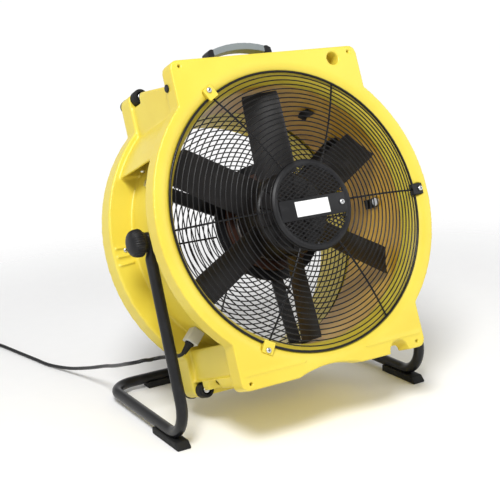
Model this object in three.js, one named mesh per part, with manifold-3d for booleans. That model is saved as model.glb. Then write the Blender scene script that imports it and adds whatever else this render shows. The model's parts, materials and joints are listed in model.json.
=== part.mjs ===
// Air mover: a drum fan in a moulded housing, tilting in a bent tube stand.
// Millimetres, +Z up, the blowing side faces -Y, and the stand rests on Z = 0.
import * as THREE from 'three';
import { mergeVertices } from 'three/addons/utils/BufferGeometryUtils.js';
import Module from 'manifold-3d';

const wasm = await Module();
wasm.setup();

// ---------------------------------------------------------------- driving sizes
const FIT = 0.3;                 // clearance between two pieces that touch
const RUN = 1.0;                 // clearance beside a turning piece
const OVER = 2.0;                // how far a cutter runs past the face it cuts
const LAP = 1.0;                 // how deep two joined solids run into each other
const DEEP_LAP = 4.0;            // the same, where a solid joins the round waist
const TURNED = 20;               // sides of a turned piece
const DRILLED = 12;              // sides of a drilled hole or a bolt

// Moulded housing, in its own frame: Y runs along the fan axis, 0 at the front face.
const DEPTH = 230;
const DUCT_R = 229;
const RING_R = DUCT_R + 46;       // round part of the front flange
const REAR_RING_R = DUCT_R + 52;  // and of the rear flange
const SQUARE_W = DUCT_R - 40.6;   // half width of the square part of a flange
const SQUARE_H = DUCT_R + 50;     // half height of the square part of a flange
const CORNER_R = 14;
const FRONT_T = 36;
const REAR_T = 41;
const WAIST_R = DUCT_R + 8;
const GUARD_R = DUCT_R + 16;
const MOUTH_R = GUARD_R + 22;
const MOUTH_D = 40;
const REAR_GUARD_R = DUCT_R + 16;
const REAR_MOUTH_R = REAR_GUARD_R + 7;
const REAR_MOUTH_D = 22;
const WEB_INSET = 5;
const WEB_WALL = 6;
const WEB_Z = 128;               // underside of the upper corner boxes
const WEB_TOP_FRONT = DUCT_R + 17;
const WEB_SLOPE = 0.21;
const BASE_INSET = 11;
const BASE_Z = -SQUARE_H + 84;             // top of the lower corner boxes
const BASE_BOTTOM = -SQUARE_H + BASE_INSET;
const SKID_Z = BASE_BOTTOM + 18;
const SKID_OUT = 7;
const HOLE_X = SQUARE_W - 17;
const HOLE_Z = SQUARE_H - 11;
const HOLE_R = 3.2;

// Rear collar that takes an air hose.
const COLLAR_L = 90;
const COLLAR_R0 = DUCT_R + 8;
const COLLAR_R1 = DUCT_R + 1;
const COLLAR_WALL = 5;
const COLLAR_BEAD = 3;
const COLLAR_FLANGE_R = RING_R - 8;
const COLLAR_FLANGE_T = 5;

// Wire guards.
const GUARD_Y = 4;
const GUARD_DOME = 34;
const REAR_GUARD_DOME = 5;
const WIRE_R = 2.2;
const RINGS = 5;
const RING_FACET = 50;           // radius for every six facets of a guard ring
const WIRE_SIDES = 6;
const RING_SIDES = 4;
const SPOKES = 6;
const PLATE_R = 78;
const PLATE_T = 2.5;

// Impeller and motor.
const BLADES = 6;
const BLADE_PHASE = 29;
const TIP_R = DUCT_R - 5;
const HUB_R = 73;
const BLADE_Y = 60;
const ARM_Y = 150;
const ARM_T = 5;
const ARM_W = 24;
const ARMS = 3;
const ARM_PHASE = 86;

// Stand.
const TILT = 20;                 // how far the housing leans back at rest, degrees
const PIVOT_DEPTH = 96.4;
const TUBE_R = 10;
const STAND_X = WAIST_R + 16;
const PIVOT_DROP = DUCT_R + 99.7;        // pivot above the centre of the floor rails
const FRONT_REACH = 105.4;
const REAR_REACH = 229.8;
const PAD_T = 8;
const FRONT_BEND = 52;
const REAR_BEND = 48;
const EYE_T = 10;                // thickness of the flattened tube end
const EYE_RISE = 16;
const KNOB_R = 24;
const BOLT_R = 4;

const DEG = Math.PI / 180;
const PIVOT_Z = PIVOT_DROP + TUBE_R + PAD_T;
const lean = TILT * DEG;
const frontExtent = PIVOT_DEPTH * Math.cos(lean) + SQUARE_H * Math.sin(lean);
const collarBack = DEPTH + COLLAR_L - PIVOT_DEPTH;
const rearExtent = collarBack * Math.cos(lean) + (COLLAR_R1 + COLLAR_WALL + COLLAR_BEAD) * Math.sin(lean);
const PIVOT_Y = (frontExtent - rearExtent) / 2;

// ---------------------------------------------------------------- materials
const paint = (color, roughness, metalness = 0) =>
  new THREE.MeshStandardMaterial({ color, roughness, metalness });
const yellow = () => paint(0xf2dc2a, 0.45);
const blackSteel = () => paint(0x161616, 0.4, 0.5);
const blackPlastic = () => paint(0x1b1b1c, 0.55);
const rubber = () => paint(0x232323, 0.85);
const zinc = () => paint(0xc9ccce, 0.3, 0.9);
const aluminium = () => paint(0x9a9da0, 0.45, 0.7);
const greyPlastic = () => paint(0xb9b9b2, 0.6);

// ---------------------------------------------------------------- helpers
const root = new THREE.Group();
const housingFrame = new THREE.Group();
housingFrame.position.set(0, PIVOT_Y, PIVOT_Z);
housingFrame.rotation.x = -lean;
const body = new THREE.Group();
body.position.y = -PIVOT_DEPTH;
housingFrame.add(body);
const stand = new THREE.Group();
stand.position.set(0, PIVOT_Y, PIVOT_Z);
root.add(housingFrame, stand);

function solid(geometry) {
  const bare = geometry.clone();
  bare.deleteAttribute('normal');
  bare.deleteAttribute('uv');
  const merged = mergeVertices(bare, 1e-4);
  return new wasm.Manifold(new wasm.Mesh({
    numProp: 3,
    vertProperties: new Float32Array(merged.attributes.position.array),
    triVerts: new Uint32Array(merged.index.array),
  }));
}

function toGeometry(manifold) {
  const mesh = manifold.getMesh();
  const geometry = new THREE.BufferGeometry();
  geometry.setAttribute('position', new THREE.BufferAttribute(mesh.vertProperties, 3));
  geometry.setIndex(new THREE.BufferAttribute(mesh.triVerts, 1));
  geometry.computeVertexNormals();
  return geometry;
}

function place(parent, name, shape, material) {
  const geometry = shape.isBufferGeometry ? shape : toGeometry(shape);
  const mesh = new THREE.Mesh(geometry, material);
  mesh.name = name;
  parent.add(mesh);
  return mesh;
}

const at = (geometry, x, y, z) => geometry.clone().translate(x, y, z);
const box = (w, d, h) => new THREE.BoxGeometry(w, d, h);
const rodY = (radius, length, sides = 16) => new THREE.CylinderGeometry(radius, radius, length, sides);
const rodX = (radius, length, sides = 16) => rodY(radius, length, sides).rotateZ(Math.PI / 2);
const turned = (profile, sides) =>
  new THREE.LatheGeometry(profile.map(([r, y]) => new THREE.Vector2(r, y)), sides);
const aroundY = (geometry, degrees) => geometry.clone().rotateY(-degrees * DEG);

// A plate drawn in front view (X across, Z up), running from y0 to y1 in depth.
function plateY(shape, y0, y1) {
  const geometry = new THREE.ExtrudeGeometry(shape, { depth: y1 - y0, bevelEnabled: false });
  return geometry.rotateX(Math.PI / 2).translate(0, y1, 0);
}

// A path whose steps fall on chosen stations, so straight runs need only one step.
class StationPath extends THREE.Curve {
  constructor(stations) {
    super();
    this.stations = stations;
    this.steps = stations.length - 1;
  }

  getPointAt(u) {
    return this.stations[Math.round(u * this.steps)].clone();
  }

  getTangentAt(u) {
    const i = Math.round(u * this.steps);
    const before = this.stations[Math.max(i - 1, 0)];
    const after = this.stations[Math.min(i + 1, this.steps)];
    return after.clone().sub(before).normalize();
  }
}

// Stations through corner points, with a round bend at each inner corner.
function bentStations(corners, bendRadii, bendSteps) {
  const stations = [corners[0]];
  for (let i = 1; i < corners.length - 1; i += 1) {
    const into = corners[i].clone().sub(corners[i - 1]).normalize();
    const out = corners[i + 1].clone().sub(corners[i]).normalize();
    const turn = into.angleTo(out);
    const radius = bendRadii[i - 1];
    const start = corners[i].clone().addScaledVector(into, -radius * Math.tan(turn / 2));
    const inward = out.clone().addScaledVector(into, -out.dot(into)).normalize();
    const centre = start.clone().addScaledVector(inward, radius);
    for (let k = 0; k <= bendSteps; k += 1) {
      const angle = (turn * k) / bendSteps;
      stations.push(centre.clone()
        .addScaledVector(inward, -radius * Math.cos(angle))
        .addScaledVector(into, radius * Math.sin(angle)));
    }
  }
  stations.push(corners[corners.length - 1]);
  return stations;
}

function circleShape(radius) {
  const shape = new THREE.Shape();
  shape.absarc(0, 0, radius, 0, 2 * Math.PI, false);
  return shape;
}

function swept(radius, sides, stations) {
  const path = new StationPath(stations);
  return new THREE.ExtrudeGeometry(circleShape(radius),
    { extrudePath: path, steps: path.steps, bevelEnabled: false, curveSegments: sides / 2 });
}

// ---------------------------------------------------------------- housing
const RING_STEPS = 20;
const CORNER_STEPS = 4;

function arc(cx, cz, radius, from, to, steps) {
  return Array.from({ length: steps + 1 }, (_, i) => {
    const angle = from + ((to - from) * i) / steps;
    return new THREE.Vector2(cx + radius * Math.cos(angle), cz + radius * Math.sin(angle));
  });
}

// Outline of a flange: a ring with a square-cornered plate across top and bottom.
function flangeOutline(inset, ring = RING_R) {
  const r = ring - inset;
  const w = SQUARE_W - inset;
  const h = SQUARE_H - inset;
  const c = CORNER_R;
  const side = Math.acos(w / r);
  const quarter = Math.PI / 2;
  return new THREE.Shape([
    ...arc(0, 0, r, -side, side, RING_STEPS),
    ...arc(w - c, h - c, c, 0, quarter, CORNER_STEPS),
    ...arc(-w + c, h - c, c, quarter, 2 * quarter, CORNER_STEPS),
    ...arc(0, 0, r, Math.PI - side, Math.PI + side, RING_STEPS),
    ...arc(-w + c, -h + c, c, 2 * quarter, 3 * quarter, CORNER_STEPS),
    ...arc(w - c, -h + c, c, 3 * quarter, 4 * quarter, CORNER_STEPS),
  ]);
}

const DUCT_SIDES = 60;
const MOUTH_STEPS = 4;

function ductCutter() {
  const profile = [[0, -OVER], [MOUTH_R, -OVER]];
  for (let i = 0; i <= MOUTH_STEPS; i += 1) {
    const angle = (i / MOUTH_STEPS) * Math.PI / 2;
    profile.push([MOUTH_R - (MOUTH_R - DUCT_R) * Math.sin(angle), MOUTH_D * (1 - Math.cos(angle))]);
  }
  profile.push([DUCT_R, DEPTH - REAR_MOUTH_D], [REAR_MOUTH_R, DEPTH - REAR_MOUTH_D / 3]);
  profile.push([REAR_MOUTH_R, DEPTH + OVER], [0, DEPTH + OVER]);
  return solid(turned(profile, DUCT_SIDES));
}

// Hollow boxes that join the two flanges above and below the round waist.
function upperBoxes() {
  const y0 = FRONT_T - LAP;
  const y1 = DEPTH - REAR_T + LAP;
  const high = (y) => WEB_TOP_FRONT + WEB_SLOPE * (y - FRONT_T);
  const side = (wall) => {
    const shape = new THREE.Shape();
    shape.moveTo(y0 + wall, WEB_Z - wall * 2);
    shape.lineTo(y1 - wall, WEB_Z - wall * 2);
    shape.lineTo(y1 - wall, high(y1) - wall);
    shape.lineTo(y0 + wall, high(y0) - wall);
    shape.closePath();
    const geometry = new THREE.ExtrudeGeometry(shape, { depth: 2 * RING_R, bevelEnabled: false });
    return solid(geometry.rotateX(Math.PI / 2).rotateZ(Math.PI / 2).translate(-RING_R, 0, 0));
  };
  const outer = solid(plateY(flangeOutline(WEB_INSET), y0, y1)).intersect(side(0));
  const above = solid(at(box(2 * RING_R, DEPTH, RING_R), 0, DEPTH / 2, WEB_Z + RING_R / 2));
  const inner = solid(plateY(flangeOutline(WEB_INSET + WEB_WALL), y0 + WEB_WALL, y1 - WEB_WALL))
    .intersect(side(WEB_WALL))
    .subtract(solid(at(rodY(WAIST_R, DEPTH, DUCT_SIDES), 0, DEPTH / 2, 0)));
  return outer.intersect(above).subtract(inner);
}

function lowerBoxes() {
  const y0 = FRONT_T - LAP;
  const y1 = DEPTH - REAR_T + LAP;
  const below = (top) => solid(at(box(2 * RING_R, DEPTH, RING_R), 0, DEPTH / 2, top - RING_R / 2));
  const outer = solid(plateY(flangeOutline(BASE_INSET), y0, y1)).intersect(below(BASE_Z));
  const skid = solid(plateY(flangeOutline(BASE_INSET - SKID_OUT), y0, y1)).intersect(below(SKID_Z))
    .intersect(solid(at(box(2 * RING_R, DEPTH, RING_R), 0, DEPTH / 2, BASE_BOTTOM + RING_R / 2)));
  const inner = solid(plateY(flangeOutline(BASE_INSET + WEB_WALL), y0 + WEB_WALL, y1 - WEB_WALL))
    .intersect(below(BASE_Z + OVER));
  return outer.add(skid).subtract(inner);
}

const BUFFER_R = 14;
const BUFFER_L = 20;
const BUFFER_NOTCH_L = BUFFER_L + 14;
const FOOT_R = 13;
const FOOT_L = 14;
const PORT_X = 135;
const PORT_Z = SQUARE_H - 21;
const PORT_R = 12;
const NOTCH_X = 131;
const NOTCH_R = 20;
const NOTCH_TOP = -SQUARE_H + 21.5;
const SCALLOP_X = -15;
const SCALLOP_HALF = 65;
const SCALLOP_RISE = 10.5;
const SCALLOP_SIDES = 90;
const LASHING_Y = 112;
const LASHING_R = 27;
const LASHING_RISE = 17;
const LASHING_DEEP = 30;
const BOSS_R = 16;
const BOSS_RIM = 2;
const BORE_L = 40;
const HANDLE_FOOT_X = 74;
const HANDLE_FOOT_HALF = 12;
const HANDLE_BOSS_TOP = DUCT_R + 33;
const GRIP_D = 24;
const corners = [[-1, 1], [1, 1], [-1, -1], [1, -1]];
const cornerNames = ['top_left', 'top_right', 'bottom_left', 'bottom_right'];

function flatArc(halfWidth, rise) {
  return (halfWidth ** 2 + rise ** 2) / (2 * rise);
}

const CLIP_W = 20;
const CLIP_L = 22;
const CLIP_T = 11;
const CLIP_CAP = 2.5;
const CLIP_AT = DUCT_R + 22;
const CLIP_SCREW_AT = CLIP_AT + 5;
const CLIP_SCREW_R = 2.5;
const CLIP_SCREW_L = 18;
const SCREW_HEAD_R = 4.4;
const SCREW_HEAD_T = 2.4;
const clipAngles = [0, 120, 240];
const CLIP_Y = GUARD_Y - WIRE_R - CLIP_CAP - 1.5;
const ARM_IN = 34;
const ARM_FOOT = 34;
const ARM_BOLT_R = 3.5;
const ARM_BOLT_OUT = 3;
const ARM_BOLT_HEAD = 4;
const ARM_FOOT_Y = ARM_Y - ARM_FOOT / 2;
const armAngles = Array.from({ length: ARMS }, (_, i) => -ARM_PHASE + (360 * i) / ARMS);

function makeHousing() {
  let shell = solid(plateY(flangeOutline(0), 0, FRONT_T));
  shell = shell.add(solid(plateY(flangeOutline(0, REAR_RING_R), DEPTH - REAR_T, DEPTH)));
  shell = shell.add(solid(at(rodY(WAIST_R, DEPTH - FRONT_T, DUCT_SIDES), 0, DEPTH / 2, 0)));
  shell = shell.add(upperBoxes()).add(lowerBoxes());
  const bossEnd = STAND_X - EYE_T / 2 - FIT;
  for (const side of [-1, 1]) {
    const bossStart = WAIST_R - DEEP_LAP;
    shell = shell.add(solid(at(rodX(BOSS_R, bossEnd - bossStart, 2 * DRILLED),
      side * (bossStart + bossEnd) / 2, PIVOT_DEPTH, 0)));
    shell = shell.add(solid(at(box(2 * (HANDLE_FOOT_HALF + BOSS_RIM), GRIP_D + 2 * BOSS_RIM,
      HANDLE_BOSS_TOP - WAIST_R), side * HANDLE_FOOT_X, PIVOT_DEPTH, (HANDLE_BOSS_TOP + WAIST_R) / 2)));
  }
  shell = shell.subtract(ductCutter());
  const scallopR = flatArc(SCALLOP_HALF, SCALLOP_RISE);
  const lashingR = flatArc(LASHING_R, LASHING_RISE);
  const notchW = SQUARE_W + OVER - HOLE_X;
  const notchH = SQUARE_H + OVER - HOLE_Z + BUFFER_R + OVER;
  const cuts = [
    at(rodY(PORT_R, FRONT_T), PORT_X, FRONT_T / 2 - WEB_WALL, PORT_Z),
    at(rodY(NOTCH_R, FRONT_T + 2 * OVER, 2 * DRILLED), NOTCH_X, FRONT_T / 2, NOTCH_TOP - NOTCH_R),
    at(rodY(scallopR, FRONT_T + 2 * OVER, SCALLOP_SIDES), SCALLOP_X, FRONT_T / 2,
      -SQUARE_H + SCALLOP_RISE - scallopR),
  ];
  for (const [sx, sz] of corners) {
    cuts.push(at(rodY(HOLE_R, FRONT_T + 2 * OVER, DRILLED), sx * HOLE_X, FRONT_T / 2, sz * HOLE_Z));
    cuts.push(at(rodY(HOLE_R, REAR_T + 2 * OVER, DRILLED), sx * HOLE_X, DEPTH - REAR_T / 2, sz * HOLE_Z));
    cuts.push(at(rodY(BUFFER_R + OVER, BUFFER_NOTCH_L, TURNED), sx * HOLE_X,
      DEPTH - REAR_T - BUFFER_NOTCH_L / 2, sz * HOLE_Z));
    cuts.push(at(box(notchW, BUFFER_NOTCH_L, notchH), sx * (HOLE_X + notchW / 2),
      DEPTH - REAR_T - BUFFER_NOTCH_L / 2, sz * (SQUARE_H + OVER - notchH / 2)));
  }
  for (const angle of clipAngles) {
    cuts.push(aroundY(at(box(CLIP_L + 2 * FIT, CLIP_T + OVER, CLIP_W + 2 * FIT),
      CLIP_AT, CLIP_Y + (CLIP_T + OVER) / 2 - OVER + FIT, 0), angle));
    cuts.push(aroundY(at(rodY(CLIP_SCREW_R + FIT, CLIP_SCREW_L + OVER, DRILLED),
      CLIP_SCREW_AT, CLIP_Y + CLIP_SCREW_L / 2, 0), angle));
  }
  for (const side of [-1, 1]) {
    cuts.push(at(rodX(BOLT_R + FIT, BORE_L, DRILLED), side * WAIST_R, PIVOT_DEPTH, 0));
    cuts.push(at(rodX(lashingR, LASHING_DEEP, 3 * DRILLED), side * (SQUARE_W - LASHING_DEEP / 2), LASHING_Y,
      BASE_BOTTOM + LASHING_RISE - lashingR));
  }
  for (const angle of armAngles) {
    cuts.push(aroundY(at(rodX(ARM_BOLT_R + FIT, BORE_L, DRILLED), WAIST_R, ARM_FOOT_Y, 0), angle));
  }
  for (const cut of cuts) {
    shell = shell.subtract(solid(cut));
  }
  return shell;
}

place(body, 'housing', makeHousing(), yellow());

// ---------------------------------------------------------------- rear collar
const COLLAR_SIDES = 42;
const collarBase = DEPTH + FIT;
const collarBore = COLLAR_R0 - LAP;
const collarEnd = collarBase + COLLAR_L;
place(body, 'rear_collar', turned([
  [collarBore, collarBase],
  [COLLAR_FLANGE_R, collarBase],
  [COLLAR_FLANGE_R, collarBase + COLLAR_FLANGE_T],
  [COLLAR_R0 + COLLAR_WALL, collarBase + COLLAR_FLANGE_T],
  [COLLAR_R1 + COLLAR_WALL, collarEnd - COLLAR_WALL],
  [COLLAR_R1 + COLLAR_WALL + COLLAR_BEAD, collarEnd - COLLAR_WALL],
  [COLLAR_R1 + COLLAR_WALL + COLLAR_BEAD, collarEnd],
  [COLLAR_R1, collarEnd],
  [collarBore, collarBase],
], COLLAR_SIDES), yellow());

// ---------------------------------------------------------------- wire guards
function guardProfile(outer, base, dome) {
  return (r) => base - dome * (1 - ((r - PLATE_R) / (outer - PLATE_R)) ** 2);
}

function wireRing(radius, y, wire) {
  const facets = SPOKES * Math.ceil(radius / RING_FACET);
  return new THREE.TorusGeometry(radius, wire, RING_SIDES, facets).rotateX(Math.PI / 2).translate(0, y, 0);
}

const RING_IN = PLATE_R - 8;
const SPOKE_IN = RING_IN - 10;
const SPOKE_STATIONS = 5;
const WELD = 1.4;                // how deep crossing wires are fused

function makeGuard(outer, base, dome, spokeSide) {
  const depthAt = guardProfile(outer, base, dome);
  const inner = RING_IN;
  let guard = null;
  for (let i = 0; i < RINGS; i += 1) {
    const radius = outer + ((inner - outer) * i) / (RINGS - 1);
    const ring = solid(wireRing(radius, depthAt(Math.max(radius, PLATE_R)), WIRE_R));
    guard = guard ? guard.add(ring) : ring;
  }
  const offset = spokeSide * (2 * WIRE_R - WELD);
  const stations = [];
  for (let i = 0; i <= SPOKE_STATIONS; i += 1) {
    const r = SPOKE_IN + ((outer - SPOKE_IN) * i) / SPOKE_STATIONS;
    const shift = i === SPOKE_STATIONS ? 0 : offset;
    stations.push(new THREE.Vector3(r, depthAt(Math.max(r, PLATE_R)) + shift, 0));
  }
  const spoke = swept(WIRE_R, WIRE_SIDES, stations);
  for (let i = 0; i < SPOKES; i += 1) {
    guard = guard.add(solid(aroundY(spoke, (360 * i) / SPOKES)));
  }
  return guard;
}

place(body, 'front_guard', makeGuard(GUARD_R, GUARD_Y, GUARD_DOME, 1), blackSteel());
place(body, 'rear_guard',
  makeGuard(REAR_GUARD_R, DEPTH - WIRE_R - LAP, -REAR_GUARD_DOME, -1), blackSteel());

const plateBack = GUARD_Y - GUARD_DOME - WIRE_R - FIT;
const plateFront = plateBack - PLATE_T;
place(body, 'guard_centre_plate',
  at(rodY(PLATE_R, PLATE_T, 3 * DRILLED), 0, (plateBack + plateFront) / 2, 0), blackPlastic());
const BADGE_W = 67;
const BADGE_H = 26;
const BADGE_T = 1;
const BADGE_X = -2.5;
const BADGE_Z = -5;
place(body, 'badge_plate', at(box(BADGE_W, BADGE_T, BADGE_H), BADGE_X,
  plateFront - FIT - BADGE_T / 2, BADGE_Z), paint(0xe9e9e6, 0.5));

// Clips that hold the outer wire of the front guard in pockets of the mouth.
clipAngles.forEach((angle, i) => {
  const midY = CLIP_Y + CLIP_T / 2;
  let clip = solid(at(box(CLIP_L, CLIP_T, CLIP_W), CLIP_AT, midY, 0));
  clip = clip.subtract(solid(wireRing(GUARD_R, GUARD_Y, WIRE_R + FIT)));
  const slotFront = CLIP_Y + CLIP_CAP;
  const slotDepth = CLIP_T + CLIP_Y - slotFront + OVER;
  clip = clip.subtract(solid(at(box(GUARD_R - CLIP_AT + CLIP_L / 2 + WIRE_R + FIT + OVER,
    slotDepth, 2 * (WIRE_R + 2 * FIT)),
  (CLIP_AT - CLIP_L / 2 - OVER + GUARD_R + WIRE_R + FIT) / 2, slotFront + slotDepth / 2, 0)));
  clip = clip.subtract(solid(at(rodY(CLIP_SCREW_R + FIT, 2 * CLIP_T, DRILLED), CLIP_SCREW_AT, midY, 0)));
  place(body, `front_clip_${i + 1}`, clip, i ? yellow() : blackPlastic()).rotation.y = -angle * DEG;
  const under = CLIP_Y - FIT;
  const screw = turned([
    [0, under - SCREW_HEAD_T], [SCREW_HEAD_R - LAP, under - SCREW_HEAD_T], [SCREW_HEAD_R, under],
    [CLIP_SCREW_R, under], [CLIP_SCREW_R, CLIP_Y + CLIP_SCREW_L - OVER], [0, CLIP_Y + CLIP_SCREW_L],
  ], DRILLED);
  const turn = new THREE.Group();
  turn.rotation.y = -angle * DEG;
  body.add(turn);
  place(turn, `front_clip_screw_${i + 1}`, screw, zinc()).position.x = CLIP_SCREW_AT;
});

// ---------------------------------------------------------------- impeller
const CUP_FRONT = 30;
const CUP_BACK = 104;
const CUP_WALL = 6;
const CUP_CORNER = 7;
const CUP_FLOOR = CUP_FRONT + CUP_WALL + 2;
const SHAFT_R = 8;
const SHAFT_END = 140;
const STATOR_R = HUB_R - 10;
const BEARING_R = 17;
const BEARING_T = 12;
place(body, 'impeller_hub', turned([
  [0, CUP_FRONT], [HUB_R - CUP_CORNER, CUP_FRONT], [HUB_R, CUP_FRONT + CUP_CORNER],
  [HUB_R, CUP_BACK], [HUB_R - CUP_WALL, CUP_BACK], [HUB_R - CUP_WALL, CUP_FLOOR], [0, CUP_FLOOR],
], 3 * DRILLED), blackPlastic());

const CHORD_ROOT = 78;
const CHORD_TIP = 66;
const PITCH_ROOT = 38 * DEG;
const PITCH_TIP = 25 * DEG;
const BLADE_T = 3;
const CAMBER = 6;
const SPAN_PARTS = 5;
const CHORD_PARTS = 4;

function makeBlade() {
  const span = TIP_R - HUB_R - FIT;
  const geometry = new THREE.BoxGeometry(span, BLADE_T, 1, SPAN_PARTS, 1, CHORD_PARTS);
  const spot = geometry.attributes.position;
  for (let i = 0; i < spot.count; i += 1) {
    const part = spot.getX(i) / span + 0.5;
    const along = spot.getZ(i);
    const chord = CHORD_ROOT + (CHORD_TIP - CHORD_ROOT) * part;
    const pitch = PITCH_ROOT + (PITCH_TIP - PITCH_ROOT) * part;
    const lift = spot.getY(i) + CAMBER * (1 - (2 * along) ** 2);
    spot.setXYZ(i, HUB_R + FIT + span * part,
      BLADE_Y + along * chord * Math.sin(pitch) + lift * Math.cos(pitch),
      along * chord * Math.cos(pitch) - lift * Math.sin(pitch));
  }
  return geometry;
}

for (let i = 0; i < BLADES; i += 1) {
  place(body, `blade_${i + 1}`, makeBlade(), blackPlastic()).rotation.y =
    -(BLADE_PHASE + (360 * i) / BLADES) * DEG;
}

place(body, 'motor_shaft', turned([
  [0, CUP_FLOOR + FIT], [SHAFT_R, CUP_FLOOR + FIT], [SHAFT_R, SHAFT_END], [0, SHAFT_END],
], TURNED), zinc());

const STATOR_FRONT = CUP_FLOOR + 4 * RUN;
const STATOR_SIDES = 32;
const FRONT_BEARING_Y = STATOR_FRONT + 4;
const BASE_FRONT = CUP_BACK + 4 * RUN;
const REAR_BEARING_Y = BASE_FRONT + 14;
const BASE_R = HUB_R - 1;
place(body, 'motor_stator', turned([
  [BEARING_R + FIT, STATOR_FRONT], [STATOR_R, STATOR_FRONT], [STATOR_R, BASE_FRONT],
  [BASE_R, BASE_FRONT], [BASE_R, ARM_Y - FIT], [BEARING_R + FIT, ARM_Y - FIT],
  [BEARING_R + FIT, STATOR_FRONT],
], STATOR_SIDES), aluminium());
[['front_bearing', FRONT_BEARING_Y], ['rear_bearing', REAR_BEARING_Y]].forEach(([name, y]) => {
  place(body, name, turned([
    [SHAFT_R + FIT, y], [BEARING_R, y], [BEARING_R, y + BEARING_T], [SHAFT_R + FIT, y + BEARING_T],
    [SHAFT_R + FIT, y],
  ], TURNED), zinc());
});

// Flat arms from the motor to feet bolted through the duct wall.
armAngles.forEach((angle, i) => {
  const reach = DUCT_R - FIT;
  const bore = solid(at(rodY(reach, DEPTH, DUCT_SIDES), 0, DEPTH / 2, 0));
  let arm = solid(at(box(DUCT_R - ARM_IN, ARM_T, ARM_W), (DUCT_R + ARM_IN) / 2, ARM_Y + ARM_T / 2, 0));
  arm = arm.add(solid(at(box(2 * ARM_T, ARM_FOOT + ARM_T, ARM_W), DUCT_R,
    ARM_Y + (ARM_T - ARM_FOOT) / 2, 0)));
  arm = arm.intersect(solid(aroundY(toGeometry(bore), -angle)));
  arm = arm.subtract(solid(at(rodX(ARM_BOLT_R + FIT, 4 * ARM_T, DRILLED), DUCT_R, ARM_FOOT_Y, 0)));
  place(body, `motor_arm_${i + 1}`, arm, blackSteel()).rotation.y = -angle * DEG;
  const boltIn = DUCT_R - ARM_T - ARM_BOLT_OUT;
  const boltOut = WAIST_R + FIT;
  const shank = rodX(ARM_BOLT_R, boltOut - boltIn, DRILLED);
  const head = rodX(ARM_BOLT_R * 2, ARM_BOLT_HEAD, DRILLED);
  const bolt = solid(at(shank, (boltIn + boltOut) / 2, ARM_FOOT_Y, 0))
    .add(solid(at(head, boltOut + ARM_BOLT_HEAD / 2, ARM_FOOT_Y, 0)));
  place(body, `arm_bolt_${i + 1}`, bolt, zinc()).rotation.y = -angle * DEG;
});

// ---------------------------------------------------------------- handle
const HANDLE_Y = PIVOT_DEPTH;
const GRIP_HALF = 53;
const GRIP_T = 13;
const GRIP_TOP = HANDLE_BOSS_TOP + 64;
const GRIP_ARCH = 8;
const GRIP_PARTS = 8;
const LEG_FOOT_Z = HANDLE_BOSS_TOP + FIT;
const LEG_FOOT_T = 5;
const LEG_SHOULDER = 6;          // reach of the leg's flat top beside the grip
const LEG_LEAN = 4;              // how far the leg leans out on its way down
const LEG_T = 7;

function archedGrip() {
  const sag = (x) => GRIP_TOP - GRIP_ARCH * (x / GRIP_HALF) ** 2;
  const shape = new THREE.Shape();
  for (let i = 0; i <= GRIP_PARTS; i += 1) {
    const x = -GRIP_HALF + (2 * GRIP_HALF * i) / GRIP_PARTS;
    if (i === 0) shape.moveTo(x, sag(x));
    else shape.lineTo(x, sag(x));
  }
  for (let i = GRIP_PARTS; i >= 0; i -= 1) {
    const x = -GRIP_HALF + (2 * GRIP_HALF * i) / GRIP_PARTS;
    shape.lineTo(x, sag(x) - GRIP_T);
  }
  shape.closePath();
  return plateY(shape, HANDLE_Y - GRIP_D / 2, HANDLE_Y + GRIP_D / 2);
}

function handleLeg() {
  const top = GRIP_TOP - GRIP_ARCH;
  const inner = GRIP_HALF + FIT;
  const shape = new THREE.Shape();
  shape.moveTo(inner, top);
  shape.lineTo(inner, top - GRIP_T);
  shape.lineTo(inner + LEG_SHOULDER, top - GRIP_T - LEG_LEAN);
  shape.lineTo(inner + LEG_SHOULDER + LEG_LEAN, LEG_FOOT_Z);
  shape.lineTo(HANDLE_FOOT_X + HANDLE_FOOT_HALF, LEG_FOOT_Z);
  shape.lineTo(HANDLE_FOOT_X + HANDLE_FOOT_HALF, LEG_FOOT_Z + LEG_FOOT_T);
  shape.lineTo(inner + LEG_SHOULDER + LEG_LEAN + LEG_T, LEG_FOOT_Z + LEG_FOOT_T);
  shape.lineTo(inner + LEG_SHOULDER + LEG_T, top - LEG_FOOT_T);
  shape.lineTo(inner + LEG_SHOULDER, top);
  shape.closePath();
  return plateY(shape, HANDLE_Y - GRIP_D / 2, HANDLE_Y + GRIP_D / 2);
}

place(body, 'handle_grip', archedGrip(), paint(0x8f979c, 0.5));
place(body, 'handle_leg_right', handleLeg(), blackPlastic());
place(body, 'handle_leg_left', handleLeg().rotateZ(Math.PI).translate(0, 2 * HANDLE_Y, 0),
  blackPlastic());

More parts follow.
